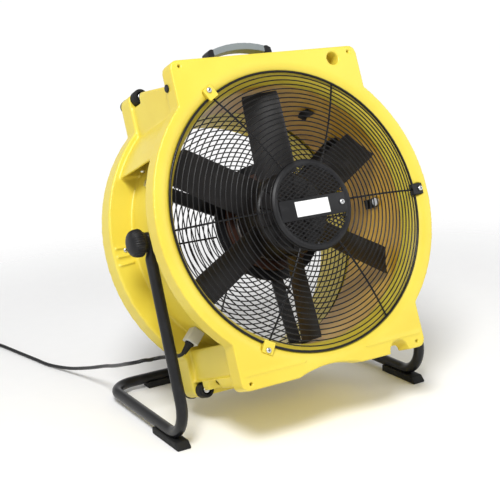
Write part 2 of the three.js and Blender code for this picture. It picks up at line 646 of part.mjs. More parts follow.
// ---------------------------------------------------------------- corner buffers
const RECESS_R = 8;
const RECESS_D = 5;
const RUBBER_SIDES = 14;
const RUBBER_EDGE = 2;
const CORNER_HEAD_R = 5.5;
const CORNER_HEAD_SIDES = 8;
const CORNER_BOLT_IN = 3;        // how far a corner bolt ends inside its foot
corners.forEach(([sx, sz], i) => {
  const face = DEPTH - REAR_T - FIT;
  const front = face - BUFFER_L;
  const back = DEPTH + FIT;
  const spot = (mesh) => mesh.position.set(sx * HOLE_X, 0, sz * HOLE_Z);
  spot(place(body, `corner_buffer_${cornerNames[i]}`, turned([
    [HOLE_R + FIT, front + RECESS_D], [RECESS_R, front + RECESS_D], [RECESS_R, front],
    [BUFFER_R - RUBBER_EDGE, front], [BUFFER_R, front + RUBBER_EDGE], [BUFFER_R, face],
    [HOLE_R + FIT, face], [HOLE_R + FIT, front + RECESS_D],
  ], RUBBER_SIDES), rubber()));
  spot(place(body, `corner_foot_${cornerNames[i]}`, turned([
    [HOLE_R + FIT, back], [FOOT_R, back], [FOOT_R - RUBBER_EDGE / 2, back + FOOT_L - RUBBER_EDGE],
    [FOOT_R - 1.5 * RUBBER_EDGE, back + FOOT_L], [HOLE_R + FIT, back + FOOT_L], [HOLE_R + FIT, back],
  ], RUBBER_SIDES), rubber()));
  spot(place(body, `corner_bolt_${cornerNames[i]}`, turned([
    [0, front + LAP], [CORNER_HEAD_R, front + LAP], [CORNER_HEAD_R, front + RECESS_D - FIT],
    [HOLE_R - FIT, front + RECESS_D - FIT], [HOLE_R - FIT, back + FOOT_L - CORNER_BOLT_IN],
    [0, back + FOOT_L - CORNER_BOLT_IN],
  ], CORNER_HEAD_SIDES), zinc()));
});

// ---------------------------------------------------------------- stand
const sides = [[-1, 'left'], [1, 'right']];
const railZ = -PIVOT_DROP;
const TUBE_SIDES = 12;
const TUBE_BEND_STEPS = 6;
const frontCorner = (sx) => new THREE.Vector3(sx * STAND_X, -FRONT_REACH, railZ);
const rearCorner = (sx) => new THREE.Vector3(sx * STAND_X, REAR_REACH, railZ);
const uprightDir = new THREE.Vector3(0, -FRONT_REACH, railZ).normalize();
const eye = (sx) => new THREE.Vector3(sx * STAND_X, 0, 0).addScaledVector(uprightDir, -EYE_RISE);
const standStations = bentStations(
  [eye(-1), frontCorner(-1), rearCorner(-1), rearCorner(1), frontCorner(1), eye(1)],
  [FRONT_BEND, REAR_BEND, REAR_BEND, FRONT_BEND], TUBE_BEND_STEPS);
let frame = solid(swept(TUBE_R, TUBE_SIDES, standStations));
const FLAT_L = 46;
for (const [sx] of sides) {
  for (const face of [-1, 1]) {
    frame = frame.subtract(solid(at(box(2 * TUBE_R, FLAT_L, FLAT_L),
      sx * STAND_X + face * (EYE_T / 2 + TUBE_R), 0, 0)));
  }
  frame = frame.subtract(solid(at(rodX(BOLT_R + FIT, 4 * TUBE_R, DRILLED), sx * STAND_X, 0, 0)));
}
place(stand, 'stand_frame', frame, blackSteel());

const PAD_L = 100;
const PAD_W = 26;
const PAD_FRONT = FRONT_REACH - 19;
const REAR_PAD_L = 62;
const PAD_RAMP = 10;
const PAD_TOE = 3;
const CRADLE = 5;                // how far a pad reaches up beside the tube
const PAD_Z = railZ - TUBE_R - PAD_T;
function frontPad(sx) {
  const shape = new THREE.Shape();
  shape.moveTo(-PAD_FRONT, PAD_Z);
  shape.lineTo(-PAD_FRONT + PAD_L, PAD_Z);
  shape.lineTo(-PAD_FRONT + PAD_L, PAD_Z + PAD_T + CRADLE);
  shape.lineTo(-PAD_FRONT + PAD_RAMP, PAD_Z + PAD_T + CRADLE);
  shape.lineTo(-PAD_FRONT, PAD_Z + PAD_TOE);
  shape.closePath();
  const wedge = new THREE.ExtrudeGeometry(shape, { depth: PAD_W, bevelEnabled: false });
  return solid(wedge.rotateX(Math.PI / 2).rotateZ(Math.PI / 2).translate(sx * STAND_X - PAD_W / 2, 0, 0));
}
const fatFrame = solid(swept(TUBE_R + FIT, TUBE_SIDES, standStations));
const REAR_PAD_X = 145;
const KNOB_L = 31;
const KNOB_CAP = 12;             // thickness of the knob beyond the bolt's end
const KNOB_NECK_R = KNOB_R - 7;
const KNOB_NECK_L = 5;
const KNOB_FLARE = 3;
const KNOB_RIM_L = 9;
const KNOB_EDGE = 5;
const KNOB_DOME = 9;
const PIVOT_HEAD_R = 8;
const PIVOT_HEAD_IN = DUCT_R - 7;
const PIVOT_HEAD_OUT = DUCT_R - 4 * FIT;
for (const [sx, name] of sides) {
  place(stand, `front_pad_${name}`, frontPad(sx).subtract(fatFrame), rubber());
  const rearPad = solid(at(box(REAR_PAD_L, PAD_W, PAD_T + CRADLE), sx * REAR_PAD_X, REAR_REACH,
    PAD_Z + (PAD_T + CRADLE) / 2));
  place(stand, `rear_pad_${name}`, rearPad.subtract(fatFrame), rubber());

  const knobIn = STAND_X + EYE_T / 2 + FIT;
  const knobOut = knobIn + KNOB_L;
  const socket = knobOut - KNOB_CAP;
  const rim = knobIn + KNOB_NECK_L + KNOB_FLARE;
  const bolt = turned([
    [0, PIVOT_HEAD_IN], [PIVOT_HEAD_R, PIVOT_HEAD_IN], [PIVOT_HEAD_R, PIVOT_HEAD_OUT],
    [BOLT_R, PIVOT_HEAD_OUT], [BOLT_R, socket - FIT], [0, socket - FIT],
  ], DRILLED).rotateZ(-Math.PI / 2);
  const knob = turned([
    [BOLT_R + FIT, knobIn], [KNOB_NECK_R, knobIn], [KNOB_NECK_R + LAP, knobIn + KNOB_NECK_L],
    [KNOB_R, rim], [KNOB_R, rim + KNOB_RIM_L], [KNOB_R - KNOB_FLARE, knobOut - KNOB_EDGE],
    [KNOB_R - KNOB_DOME, knobOut], [0, knobOut],
    [0, socket], [BOLT_R + FIT, socket], [BOLT_R + FIT, knobIn],
  ], TURNED).rotateZ(-Math.PI / 2);
  for (const [piece, shape, material] of [['pivot_bolt', bolt, zinc()],
    ['tilt_knob', knob, blackPlastic()]]) {
    const mesh = place(body, `${piece}_${name}`, shape, material);
    mesh.position.y = PIVOT_DEPTH;
    mesh.rotation.z = sx < 0 ? Math.PI : 0;
  }
}

// ---------------------------------------------------------------- mains cord
const CORD_R = 3.5;
const GLAND_ANGLE = 223.5;
const GLAND_Y = 154;
const GLAND_OUT = DUCT_R + 35;
const GLAND_W = 22;
const GLAND_L = 24;
const glandFrame = new THREE.Group();
glandFrame.rotation.y = -GLAND_ANGLE * DEG;
body.add(glandFrame);
const glandIn = WAIST_R - DEEP_LAP;
const gland = solid(at(box(GLAND_OUT - glandIn, GLAND_L, GLAND_W),
  (GLAND_OUT + glandIn) / 2, GLAND_Y, 0))
  .subtract(solid(aroundY(at(rodY(WAIST_R + FIT, DEPTH, DUCT_SIDES), 0, DEPTH / 2, 0), -GLAND_ANGLE)));
place(glandFrame, 'cord_gland', gland, greyPlastic());

const CORD_SIDES = 8;
const CORD_BEND_STEPS = 4;
const cordTube = (points, bends) =>
  swept(CORD_R, CORD_SIDES, bentStations(points, bends, CORD_BEND_STEPS));

// The lead turns with the housing and ends square to the tilting axis.
const V = (x, y, z) => new THREE.Vector3(x, y, z);
const LEAD_X = STAND_X - TUBE_R - 6;
const LEAD_TURN_X = LEAD_X - 21;
const LEAD_OUT = 24;             // straight run out of the gland
const LEAD_DROP_X = 33;          // from there to where the cord turns down
const LEAD_Y = DEPTH + 8;
const LEAD_Z = BASE_Z;
const LEAD_BENDS = [16, 10];
const glandAxis = (reach) =>
  V(reach * Math.cos(GLAND_ANGLE * DEG), GLAND_Y, reach * Math.sin(GLAND_ANGLE * DEG));
place(body, 'cord_lead', cordTube([
  glandAxis(GLAND_OUT + FIT), glandAxis(GLAND_OUT + LEAD_OUT), V(-LEAD_TURN_X, LEAD_Y, LEAD_Z),
  V(-LEAD_X, LEAD_Y, LEAD_Z),
], LEAD_BENDS), blackPlastic());

// The rest hangs from there to the floor behind the stand, and ends in a coil and a plug.
const leadDepth = LEAD_Y - PIVOT_DEPTH;
const leadY = leadDepth * Math.cos(lean) + LEAD_Z * Math.sin(lean);
const leadZ = -leadDepth * Math.sin(lean) + LEAD_Z * Math.cos(lean);
const overFloor = (height) => height - PIVOT_Z;
const floorZ = overFloor(CORD_R + FIT);
const DROP_BENDS = [28, 300, 300, 300, 300, 300, 100];
const COIL_R = 42;
const COIL_W = 22;
const COIL_H = 21;
const COIL_SIDES = 28;
const COIL_X = -405;
const COIL_Y = 735;
const coilOut = COIL_R + COIL_W / 2;
place(stand, 'mains_cord', cordTube([
  V(-LEAD_X - FIT, leadY, leadZ),
  V(-LEAD_X - LEAD_DROP_X, leadY, leadZ),
  V(-250, 245, overFloor(56)),
  V(-266, 372, overFloor(17)),
  V(-292, 478, floorZ),
  V(-307, 556, floorZ),
  V(-331, 676, floorZ),
  V(COIL_X + coilOut + CORD_R + FIT, COIL_Y, floorZ),
], DROP_BENDS), blackPlastic());
place(stand, 'cord_coil', turned([
  [COIL_R - COIL_W / 2, 0], [coilOut, 0], [coilOut, COIL_H], [COIL_R - COIL_W / 2, COIL_H],
  [COIL_R - COIL_W / 2, 0],
], COIL_SIDES).rotateX(Math.PI / 2).translate(COIL_X, COIL_Y, overFloor(FIT)), blackPlastic());

// The plug lies beside the coil, in line with the outer turn of its top layer.
const PLUG_R = COIL_H - CORD_R;
const PLUG_NECK = 24;
const PLUG_L = 52;
const PLUG_EDGE = 2;
const PLUG_SHOULDER = PLUG_NECK + 10;
const PLUG_SIDES = 18;
const RELIEF = 1.5;              // rubber around the cord where it enters the plug
const PIN_L = 18;
const PIN_T = 1.6;
const PIN_W = 6.4;
const PIN_GAP = 12.7;
const EARTH_R = 2.4;
const EARTH_DROP = 11.9;
let plug = solid(turned([
  [0, 0], [CORD_R + RELIEF, 0], [CORD_R + RELIEF + PLUG_EDGE, PLUG_NECK],
  [PLUG_R - PLUG_EDGE, PLUG_SHOULDER - 2 * PLUG_EDGE], [PLUG_R, PLUG_SHOULDER],
  [PLUG_R, PLUG_L - PLUG_EDGE], [PLUG_R - PLUG_EDGE, PLUG_L], [0, PLUG_L],
], PLUG_SIDES));
for (const [sx] of sides) {
  plug = plug.add(solid(at(box(PIN_T, PIN_L + OVER, PIN_W),
    (sx * PIN_GAP) / 2, PLUG_L + (PIN_L - OVER) / 2, EARTH_DROP / 2)));
}
const earth = at(rodY(EARTH_R, PIN_L + 2 * OVER, DRILLED), 0, PLUG_L + PIN_L / 2, -EARTH_DROP / 2);
plug = plug.add(solid(earth));
const neckX = coilOut - CORD_R;
const neckEdge = neckX - CORD_R - RELIEF;
const plugMesh = place(stand, 'mains_plug', plug, blackPlastic());
plugMesh.position.set(COIL_X - neckX, COIL_Y - Math.sqrt(coilOut ** 2 - neckEdge ** 2) - 2 * FIT,
  overFloor(PLUG_R + FIT));
plugMesh.rotation.z = Math.PI;

export default root;
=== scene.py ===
# %% [markdown]
# # An air mover, finished around its engineering model
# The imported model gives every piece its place. This lesson adds what the engineering model leaves
# out: soft moulded edges, wire guards with all their rings, airfoil blades, a real mains cord, and
# a procedural material for each finish. All sizes are in metres.

# %% The frame and the libraries
import json
import math

import bmesh
import bpy
import numpy as np
from mathutils import Matrix, Vector


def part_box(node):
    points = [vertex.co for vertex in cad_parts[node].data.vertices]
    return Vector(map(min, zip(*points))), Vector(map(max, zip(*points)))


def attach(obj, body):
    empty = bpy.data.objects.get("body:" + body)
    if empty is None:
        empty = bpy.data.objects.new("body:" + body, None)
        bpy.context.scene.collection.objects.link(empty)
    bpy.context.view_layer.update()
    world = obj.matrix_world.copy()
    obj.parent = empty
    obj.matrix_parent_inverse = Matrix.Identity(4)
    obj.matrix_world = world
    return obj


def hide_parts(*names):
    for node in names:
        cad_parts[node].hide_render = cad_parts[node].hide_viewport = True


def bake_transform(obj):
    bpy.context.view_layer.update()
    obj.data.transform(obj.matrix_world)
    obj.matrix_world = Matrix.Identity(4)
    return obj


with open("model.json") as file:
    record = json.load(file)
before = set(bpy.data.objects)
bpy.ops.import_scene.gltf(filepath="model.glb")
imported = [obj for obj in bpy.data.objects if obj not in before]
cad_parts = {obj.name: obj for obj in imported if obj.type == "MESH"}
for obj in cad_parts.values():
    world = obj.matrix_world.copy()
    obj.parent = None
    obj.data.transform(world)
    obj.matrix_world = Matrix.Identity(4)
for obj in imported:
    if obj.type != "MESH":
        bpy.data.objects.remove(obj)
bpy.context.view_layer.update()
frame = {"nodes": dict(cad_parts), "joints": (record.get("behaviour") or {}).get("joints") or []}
nodes = frame["nodes"]
joints = {joint["name"]: joint for joint in frame["joints"]}

# %% [markdown]
# ## The housing's own frame
# The fan is tilted in its stand, so its pieces are easiest to describe in a frame of their own,
# where Y runs along the fan axis from the front face and Z is up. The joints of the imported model
# say where that frame is: the tilting joint gives the pivot, and the spinning joint gives the lean.

# %% Two frames: the housing's and the stand's
MM = 0.001
PIVOT_DEPTH = 96.4 * MM
pivot = Vector(joints["fan_tilt"]["pos_m"])
fan_axis = Vector(joints["impeller_spin"]["axis"])
lean = math.atan2(-fan_axis.z, fan_axis.y)
HOUSING = (
    Matrix.Translation(pivot)
    @ Matrix.Rotation(-lean, 4, "X")
    @ Matrix.Translation((0, -PIVOT_DEPTH, 0))
)
STAND = Matrix.Translation((0, pivot.y, 0))
UNTURNED = HOUSING.inverted()


def spot(x, y, z):
    """A point given in the housing's frame in millimetres, in the row frame."""
    return HOUSING @ Vector((x * MM, y * MM, z * MM))


def shifted(x, y, z):
    """A shift given in millimetres."""
    return Matrix.Translation((x * MM, y * MM, z * MM))


def around(degrees):
    """A turn about the fan axis that takes +X to that angle in front view."""
    return Matrix.Rotation(-math.radians(degrees), 4, "Y")


def turned(degrees, axis):
    return Matrix.Rotation(math.radians(degrees), 4, axis)


print("lean", round(math.degrees(lean), 2), "pivot", [round(v, 4) for v in pivot])

# %% [markdown]
# ## The camera
# It stands on the left, a little above the handle, so that the left flank and the blowing side both
# show. A long lens keeps the circles close to true ellipses. The horizon is tipped a little, so the
# roll is a value of its own.

# %% Camera
EYE = Vector((-0.9668, -1.6358, 0.7360))
LOOK_AT = Vector((-0.0559, -0.0528, 0.2992))
ROLL = math.radians(3.08)
LENS = 76.03
SENSOR = 36.0

camera_data = bpy.data.cameras.new("camera")
camera_data.lens = LENS
camera_data.sensor_width = SENSOR
camera = bpy.data.objects.new("camera", camera_data)
bpy.context.scene.collection.objects.link(camera)
facing = (LOOK_AT - EYE).to_track_quat("-Z", "Y").to_matrix().to_4x4()
camera.matrix_world = Matrix.Translation(EYE) @ facing @ Matrix.Rotation(-ROLL, 4, "Z")
bpy.context.scene.camera = camera
print("camera distance", round((LOOK_AT - EYE).length, 3))

# %% [markdown]
# ## Shader maths as expressions
# A material is a graph of nodes, but it reads better as arithmetic. `Wire` wraps an output so that
# `1 - mask * 0.2` adds the Math nodes, and `Shader.node` makes any other node: its settings first,
# then the values or wires of its sockets.

# %% Wire and Shader
class Wire:
    def __init__(self, shader, socket):
        self.shader = shader
        self.socket = socket

    def maths(self, operation, a, b):
        return self.shader.node("ShaderNodeMath", {"operation": operation}, {0: a, 1: b})

    def __add__(self, other):
        return self.maths("ADD", self, other)

    def __sub__(self, other):
        return self.maths("SUBTRACT", self, other)

    def __rsub__(self, other):
        return self.maths("SUBTRACT", other, self)

    def __mul__(self, other):
        return self.maths("MULTIPLY", self, other)

    __radd__ = __add__
    __rmul__ = __mul__


# The Mix node's colour sockets have the same names as its number sockets, so they go by place.
MIX_A, MIX_B, MIX_RESULT = 6, 7, 2


def as_colour(value):
    return (*value, 1) if isinstance(value, tuple) else value


class Shader:
    def __init__(self, name):
        self.material = bpy.data.materials.new(name)
        self.material.use_nodes = True
        self.tree = self.material.node_tree
        self.surface = self.tree.nodes["Principled BSDF"]

    def feed(self, socket, value):
        if isinstance(value, Wire):
            self.tree.links.new(value.socket, socket)
        else:
            socket.default_value = value

    def node(self, kind, settings=None, inputs=None, output=0):
        made = self.tree.nodes.new(kind)
        for key, value in (settings or {}).items():
            setattr(made, key, value)
        for key, value in (inputs or {}).items():
            self.feed(made.inputs[key], value)
        return Wire(self, made.outputs[output])

    def place(self):
        return self.node("ShaderNodeTexCoord", output="Object")

    def noise(self, scale, detail=3.0, roughness=0.5):
        inputs = {"Vector": self.place(), "Scale": scale, "Detail": detail, "Roughness": roughness}
        return self.node("ShaderNodeTexNoise", {}, inputs, "Fac")

    def step(self, value, low, high):
        inputs = {"Value": value, "From Min": low, "From Max": high}
        return self.node("ShaderNodeMapRange", {"interpolation_type": "SMOOTHSTEP"}, inputs)

    def blend(self, factor, a, b):
        inputs = {"Factor": factor, MIX_A: as_colour(a), MIX_B: as_colour(b)}
        return self.node("ShaderNodeMix", {"data_type": "RGBA"}, inputs, MIX_RESULT)

    def bump(self, height, depth, strength=1.0):
        inputs = {"Height": height, "Distance": depth, "Strength": strength}
        return self.node("ShaderNodeBump", {}, inputs)

    def finish(self, **sockets):
        for name, value in sockets.items():
            self.feed(self.surface.inputs[name.replace("_", " ")], value)
        return self.material


print("shader tools ready")

# %% [markdown]
# ## The moulded yellow plastic
# The drum is rotationally moulded polyethylene. Its skin is smooth but never quite flat: it has a
# faint orange peel, slow colour drift where the powder melted unevenly, and dull scuffs. Four
# noises at four scales give that: the peel is bump only, and the finest one varies the gloss too.
# Inside the drum the same function is called again with amber: a darker, warmer copy of the yellow that
# paints in the shade and bounced warm light of the duct.

# %% Yellow plastic
LEMON = (0.700, 0.565, 0.060)
WARM_LEMON = (0.670, 0.520, 0.045)
# These two amber tones are painted shade: a darker, warmer copy of the lemon for the inside of the
# duct, where shade and bounced light fall.
SHADE_AMBER = (0.640, 0.370, 0.022)
SHADE_WARM_AMBER = (0.600, 0.330, 0.018)
SCUFFED = (0.78, 0.70, 0.22)
PEEL_DEPTH = 0.12 * MM


def yellow_plastic(name, main_tone, worn):
    s = Shader(name)
    drift = s.step(s.noise(7.0), 0.35, 0.7)
    scuff = s.step(s.noise(55.0, 6.0, 0.7), 0.60, 0.78)
    peel = s.noise(420.0, 2.0)
    grain = s.noise(2400.0, 2.0)
    colour = s.blend(drift, main_tone, worn)
    colour = s.blend(scuff * 0.10, colour, SCUFFED)
    return s.finish(
        Base_Color=colour,
        Roughness=0.36 + scuff * 0.14 + grain * 0.06,
        Normal=s.bump(peel + grain * 0.25, PEEL_DEPTH, 0.55),
        Subsurface_Weight=0.04,
        Subsurface_Radius=(0.008, 0.005, 0.001),
        Subsurface_Scale=0.5,
    )


YELLOW = yellow_plastic("yellow_plastic", LEMON, WARM_LEMON)
# A second, darker copy of the yellow for the inside of the duct: painted shade.
INNER_YELLOW_PAINTED_SHADE = yellow_plastic("inner_yellow_painted_shade", SHADE_AMBER, SHADE_WARM_AMBER)
print(YELLOW.name, INNER_YELLOW_PAINTED_SHADE.name)

# %% [markdown]
# ## The dark finishes
# Powder-coated steel, moulded plastic, rubber and the cord's sheath are all nearly black, and only
# their gloss and grain tell them apart. One function takes those as numbers, so each finish stays
# one line and the differences can be read side by side.

# %% Black steel, black plastic, rubber and cord sheath
DARK_SPECULAR = 0.22


def dark_finish(name, base, roughness, grain_scale, grain_depth, coat=0.0, dust=0.0):
    s = Shader(name)
    grain = s.noise(grain_scale, 3.0)
    rub = s.step(s.noise(38.0, 5.0, 0.65), 0.45, 0.75)
    dusty = s.blend(rub * dust, base, tuple(v * 2.6 + 0.02 for v in base))
    return s.finish(
        Base_Color=dusty,
        Roughness=roughness + rub * 0.12 + grain * 0.08,
        Normal=s.bump(grain, grain_depth, 0.6),
        Specular_IOR_Level=DARK_SPECULAR,
        Coat_Weight=coat,
        Coat_Roughness=0.25,
    )


BLACK_STEEL = dark_finish("black_steel", (0.009, 0.009, 0.010), 0.26, 900.0, 0.00006, 0.06, 0.2)
GUARD_WIRE = dark_finish("guard_wire", (0.007, 0.007, 0.008), 0.24, 1500.0, 0.00003, 0.05, 0.1)
BLACK_PLASTIC = dark_finish("black_plastic", (0.010, 0.010, 0.011), 0.38, 1600.0, 0.00007, 0.0, 0.3)
BLADE_PLASTIC = dark_finish("blade_plastic", (0.010, 0.009, 0.009), 0.32, 1300.0, 0.00006, 0.05, 0.3)
BLACK_RUBBER = dark_finish("black_rubber", (0.009, 0.009, 0.009), 0.60, 700.0, 0.00015, 0.0, 0.3)
CORD_SHEATH = dark_finish("cord_sheath", (0.008, 0.008, 0.009), 0.36, 2200.0, 0.00003, 0.1, 0.2)
print("dark finishes ready")

# %% [markdown]
# ## Metals, grey plastic and the blank label
# Zinc plating is bright but cloudy, so its roughness wanders. The motor's casting is duller and
# coarser. The grip and the cord gland are grey mouldings, and the label is a plain white plate.

# %% Bright, grey and white finishes
def metal_finish(name, colour, roughness, scale, depth):
    s = Shader(name)
    cloud = s.noise(scale, 4.0)
    return s.finish(
        Base_Color=s.blend(cloud, colour, tuple(v * 0.82 for v in colour)),
        Metallic=1.0,
        Roughness=roughness + cloud * 0.18,
        Normal=s.bump(s.noise(scale * 6, 2.0), depth, 0.5),
    )


def plain_plastic(name, colour, roughness, grain_scale=1400.0):
    s = Shader(name)
    grain = s.noise(grain_scale, 2.0)
    drift = s.noise(60.0, 3.0)
    return s.finish(
        Base_Color=s.blend(drift, colour, tuple(v * 0.88 for v in colour)),
        Roughness=roughness + grain * 0.1,
        Normal=s.bump(grain, 0.00006, 0.5),
    )


ZINC = metal_finish("zinc_plate", (0.72, 0.73, 0.74), 0.22, 220.0, 0.00003)
CASTING = metal_finish("cast_alloy", (0.30, 0.30, 0.31), 0.45, 160.0, 0.00015)
GRIP_GREY = plain_plastic("grip_grey", (0.20, 0.23, 0.245), 0.42)
PALE_GREY = plain_plastic("pale_grey", (0.56, 0.56, 0.52), 0.5)
LABEL_WHITE = plain_plastic("label_white", (0.86, 0.86, 0.85), 0.35)
# The dark red-brown below is painted warm light: the tint that light from behind gives the rear of the
# motor.
PAINTED_WARM_TINT = plain_plastic("painted_warm_tint", (0.045, 0.016, 0.009), 0.4)
print("bright, grey and white finishes ready")

# %% [markdown]
# ## Meshes as plain lists
# Every shape is a pair of lists, vertices and faces, so shapes can be joined, turned and counted
# before Blender sees them. `swept` carries a round section along a path without twisting it, and
# `lathe` turns a closed profile about the fan axis.

# %% Shape helpers
def joined(shapes):
    vertices, faces = [], []
    for own_vertices, own_faces in shapes:
        offset = len(vertices)
        vertices.extend(own_vertices)
        faces.extend(tuple(i + offset for i in face) for face in own_faces)
    return vertices, faces


def grid_faces(rows, columns, wrap_rows=False):
    faces = []
    for i in range(rows if wrap_rows else rows - 1):
        for j in range(columns):
            a, b = i * columns, ((i + 1) % rows) * columns
            k = (j + 1) % columns
            faces.append((a + j, a + k, b + k, b + j))
    return faces


def swept(path, radius, sides=12, closed=False, section=None, side=None):
    """A tube along path. section(i) may scale its two directions; side is the first of them."""
    count = len(path)
    points = [Vector(p) for p in path]
    vertices = []
    for i, point in enumerate(points):
        before = points[i - 1] if i or closed else point
        after = points[(i + 1) % count] if i + 1 < count or closed else point
        ahead = (after - before).normalized()
        side = ahead.orthogonal() if side is None else side
        side = (side - ahead * side.dot(ahead)).normalized()
        other = ahead.cross(side)
        wide, tall = section(i) if section else (1.0, 1.0)
        for j in range(sides):
            angle = 2 * math.pi * j / sides
            offset = side * (math.cos(angle) * wide) + other * (math.sin(angle) * tall)
            vertices.append(point + offset * radius)
    faces = grid_faces(count, sides, closed)
    if not closed:
        faces.append(tuple(reversed(range(sides))))
        faces.append(tuple(range((count - 1) * sides, count * sides)))
    return vertices, faces


def lathe(profile, sides=64, matrix=Matrix.Identity(4)):
    """A closed profile of (radius, depth) in millimetres, turned about the Y axis."""
    rows = len(profile)
    vertices = []
    for j in range(sides):
        turn = 2 * math.pi * j / sides
        for r, y in profile:
            point = Vector((math.cos(turn) * r * MM, y * MM, math.sin(turn) * r * MM))
            vertices.append(matrix @ point)
    faces = []
    for j in range(sides):
        a, b = j * rows, ((j + 1) % sides) * rows
        for i in range(rows):
            k = (i + 1) % rows
            if profile[i][0] == 0 and profile[k][0] == 0:
                continue
            faces.append((a + i, a + k, b + k, b + i))
    return vertices, faces


def slab(size, matrix):
    """A box of that size in millimetres, centred on matrix."""
    x, y, z = (0.5 * v * MM for v in size)
    corners = [(sx * x, sy * y, sz * z) for sx in (-1, 1) for sy in (-1, 1) for sz in (-1, 1)]
    faces = [(0, 1, 3, 2), (4, 6, 7, 5), (0, 4, 5, 1), (2, 3, 7, 6), (0, 2, 6, 4), (1, 5, 7, 3)]
    return [matrix @ Vector(c) for c in corners], faces


def rounded(corners, radii, steps=6):
    """A profile whose corners are rounded, each by its own radius."""
    points = []
    count = len(corners)
    for i, corner in enumerate(corners):
        here = Vector(corner)
        radius = radii[i]
        if not radius:
            points.append(tuple(here))
            continue
        into = (here - Vector(corners[i - 1])).normalized()
        out = (Vector(corners[(i + 1) % count]) - here).normalized()
        start, end = here - into * radius, here + out * radius
        for k in range(steps + 1):
            t = k / steps
            point = start * (1 - t) ** 2 + here * (2 * t * (1 - t)) + end * t ** 2
            points.append(tuple(point))
    return points


print("shape helpers ready")

# %% [markdown]
# ## From a shape to a piece
# A piece is a mesh object with a material, a body that it rides on, and the engineering nodes that it
# stands for. Smooth shading with sharp edges kept above an angle suits moulded and turned parts alike.

# %% Piece helpers
SHARP = math.radians(38)
WELD = 1e-6


def as_object(name, shape):
    mesh = bpy.data.meshes.new(name)
    mesh.from_pydata([tuple(v) for v in shape[0]], [], shape[1])
    work = bmesh.new()
    work.from_mesh(mesh)
    bmesh.ops.remove_doubles(work, verts=work.verts, dist=WELD)
    bmesh.ops.dissolve_degenerate(work, edges=work.edges, dist=WELD)
    bmesh.ops.recalc_face_normals(work, faces=work.faces)
    work.to_mesh(mesh)
    work.free()
    thing = bpy.data.objects.new(name, mesh)
    bpy.context.scene.collection.objects.link(thing)
    return thing


def shaded(mesh, sharp=SHARP):
    mesh.shade_smooth()
    mesh.set_sharp_from_angle(angle=sharp)


def bevelled(thing, width, segments=2):
    modifier = thing.modifiers.new("soft edges", "BEVEL")
    modifier.width = width * MM
    modifier.segments = segments
    modifier.limit_method = "ANGLE"
    modifier.angle_limit = SHARP
    return thing


def applied(thing):
    """The mesh with its modifiers made real."""
    graph = bpy.context.evaluated_depsgraph_get()
    mesh = bpy.data.meshes.new_from_object(thing.evaluated_get(graph))
    thing.modifiers.clear()
    thing.data = mesh
    return thing


def dressed(thing, material, body, stands_for=()):
    thing.data.materials.clear()
    thing.data.materials.append(material)
    if body:
        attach(thing, body)
    if stands_for:
        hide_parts(*stands_for)
    return thing


def piece(name, shape, material, body, stands_for=(), bevel=0.0, sharp=SHARP):
    thing = as_object(name, shape)
    if bevel:
        applied(bevelled(thing, bevel))
    shaded(thing.data, sharp)
    dressed(thing, material, body, stands_for)
    print(name, len(thing.data.vertices), "vertices on", body)
    return thing


def node_shape(name):
    mesh = nodes[name].data
    return [v.co.copy() for v in mesh.vertices], [tuple(p.vertices) for p in mesh.polygons]


def softened(name, shape, voxel, passes, fix=None):
    """The shape remeshed into even small faces, with its edges worn round."""
    thing = as_object(name, shape)
    remesh = thing.modifiers.new("even faces", "REMESH")
    remesh.mode = "VOXEL"
    remesh.voxel_size = voxel * MM
    applied(thing)
    if fix:
        fix(thing.data)
    smooth = thing.modifiers.new("worn edges", "SMOOTH")
    smooth.factor = 0.5
    smooth.iterations = passes
    applied(thing)
    thing.data.shade_smooth()
    print(name, len(thing.data.vertices), "vertices after the remesh")
    return thing


print("piece helpers ready")

# %% [markdown]
# ## The mains cord
# A 7 mm rubber lead, a little under three metres long. It leaves the gland under the left flank, goes
# round the rear flange and behind the upright, sinks to the floor behind the stand and runs off to the
# left. What is left of it is wound into a neat coil, tied, with the plug beside it. The route is a list
# of points given one by one, because nothing simpler says where a lead happened to fall. The turns of
# the coil are worked out by a loop.

# %% The cord's route
CORD_D = 7.0
GLAND_ANGLE = math.radians(223.5)
GLAND_DEPTH = 154.0
GLAND_REACH = 264.3


def off_gland(reach):
    return spot(reach * math.cos(GLAND_ANGLE), GLAND_DEPTH, reach * math.sin(GLAND_ANGLE))


LEAD_POINTS = [
    off_gland(GLAND_REACH), off_gland(GLAND_REACH + 9), off_gland(GLAND_REACH + 18),
    spot(-210.3, 164, -198.6), spot(-212.6, 190, -197.6), spot(-214.5, 214, -196.2),
    spot(-218.5, 232, -195.2), spot(-228, 238, -195), spot(-237, 238, -195),
]
FLOOR_POINTS = [
    (-247, 66.5, 116.5), (-258, 70, 115), (-266, 82, 111), (-267, 106, 103), (-263, 148, 88),
    (-258, 196, 72), (-253, 244, 57), (-257, 300, 39), (-263, 350, 24.5), (-270, 392, 14),
    (-280, 436, 7), (-291, 478, 3.9), (-299, 518, 3.9), (-307, 557, 3.9), (-317, 606, 3.9),
    (-328, 660, 3.9), (-337, 690, 3.9), (-347, 712, 3.9),
]
COIL_CENTRE = (-405.0, 735.0)
COIL_TURNS = [(49.3, 0), (42.2, 0), (35.1, 0), (35.1, 1), (42.2, 1), (49.3, 1), (42.2, 2), (49.3, 2)]
COIL_HALF_TURNS = 15
COIL_STEPS = 24
COIL_SHIFT = 0.75
COIL_LIFT = 0.4
LAYER = 7.05


def on_stand(x, y, height):
    """A point given in millimetres from the pivot's place on the floor, in the row frame."""
    return STAND @ Vector((x * MM, y * MM, height * MM))


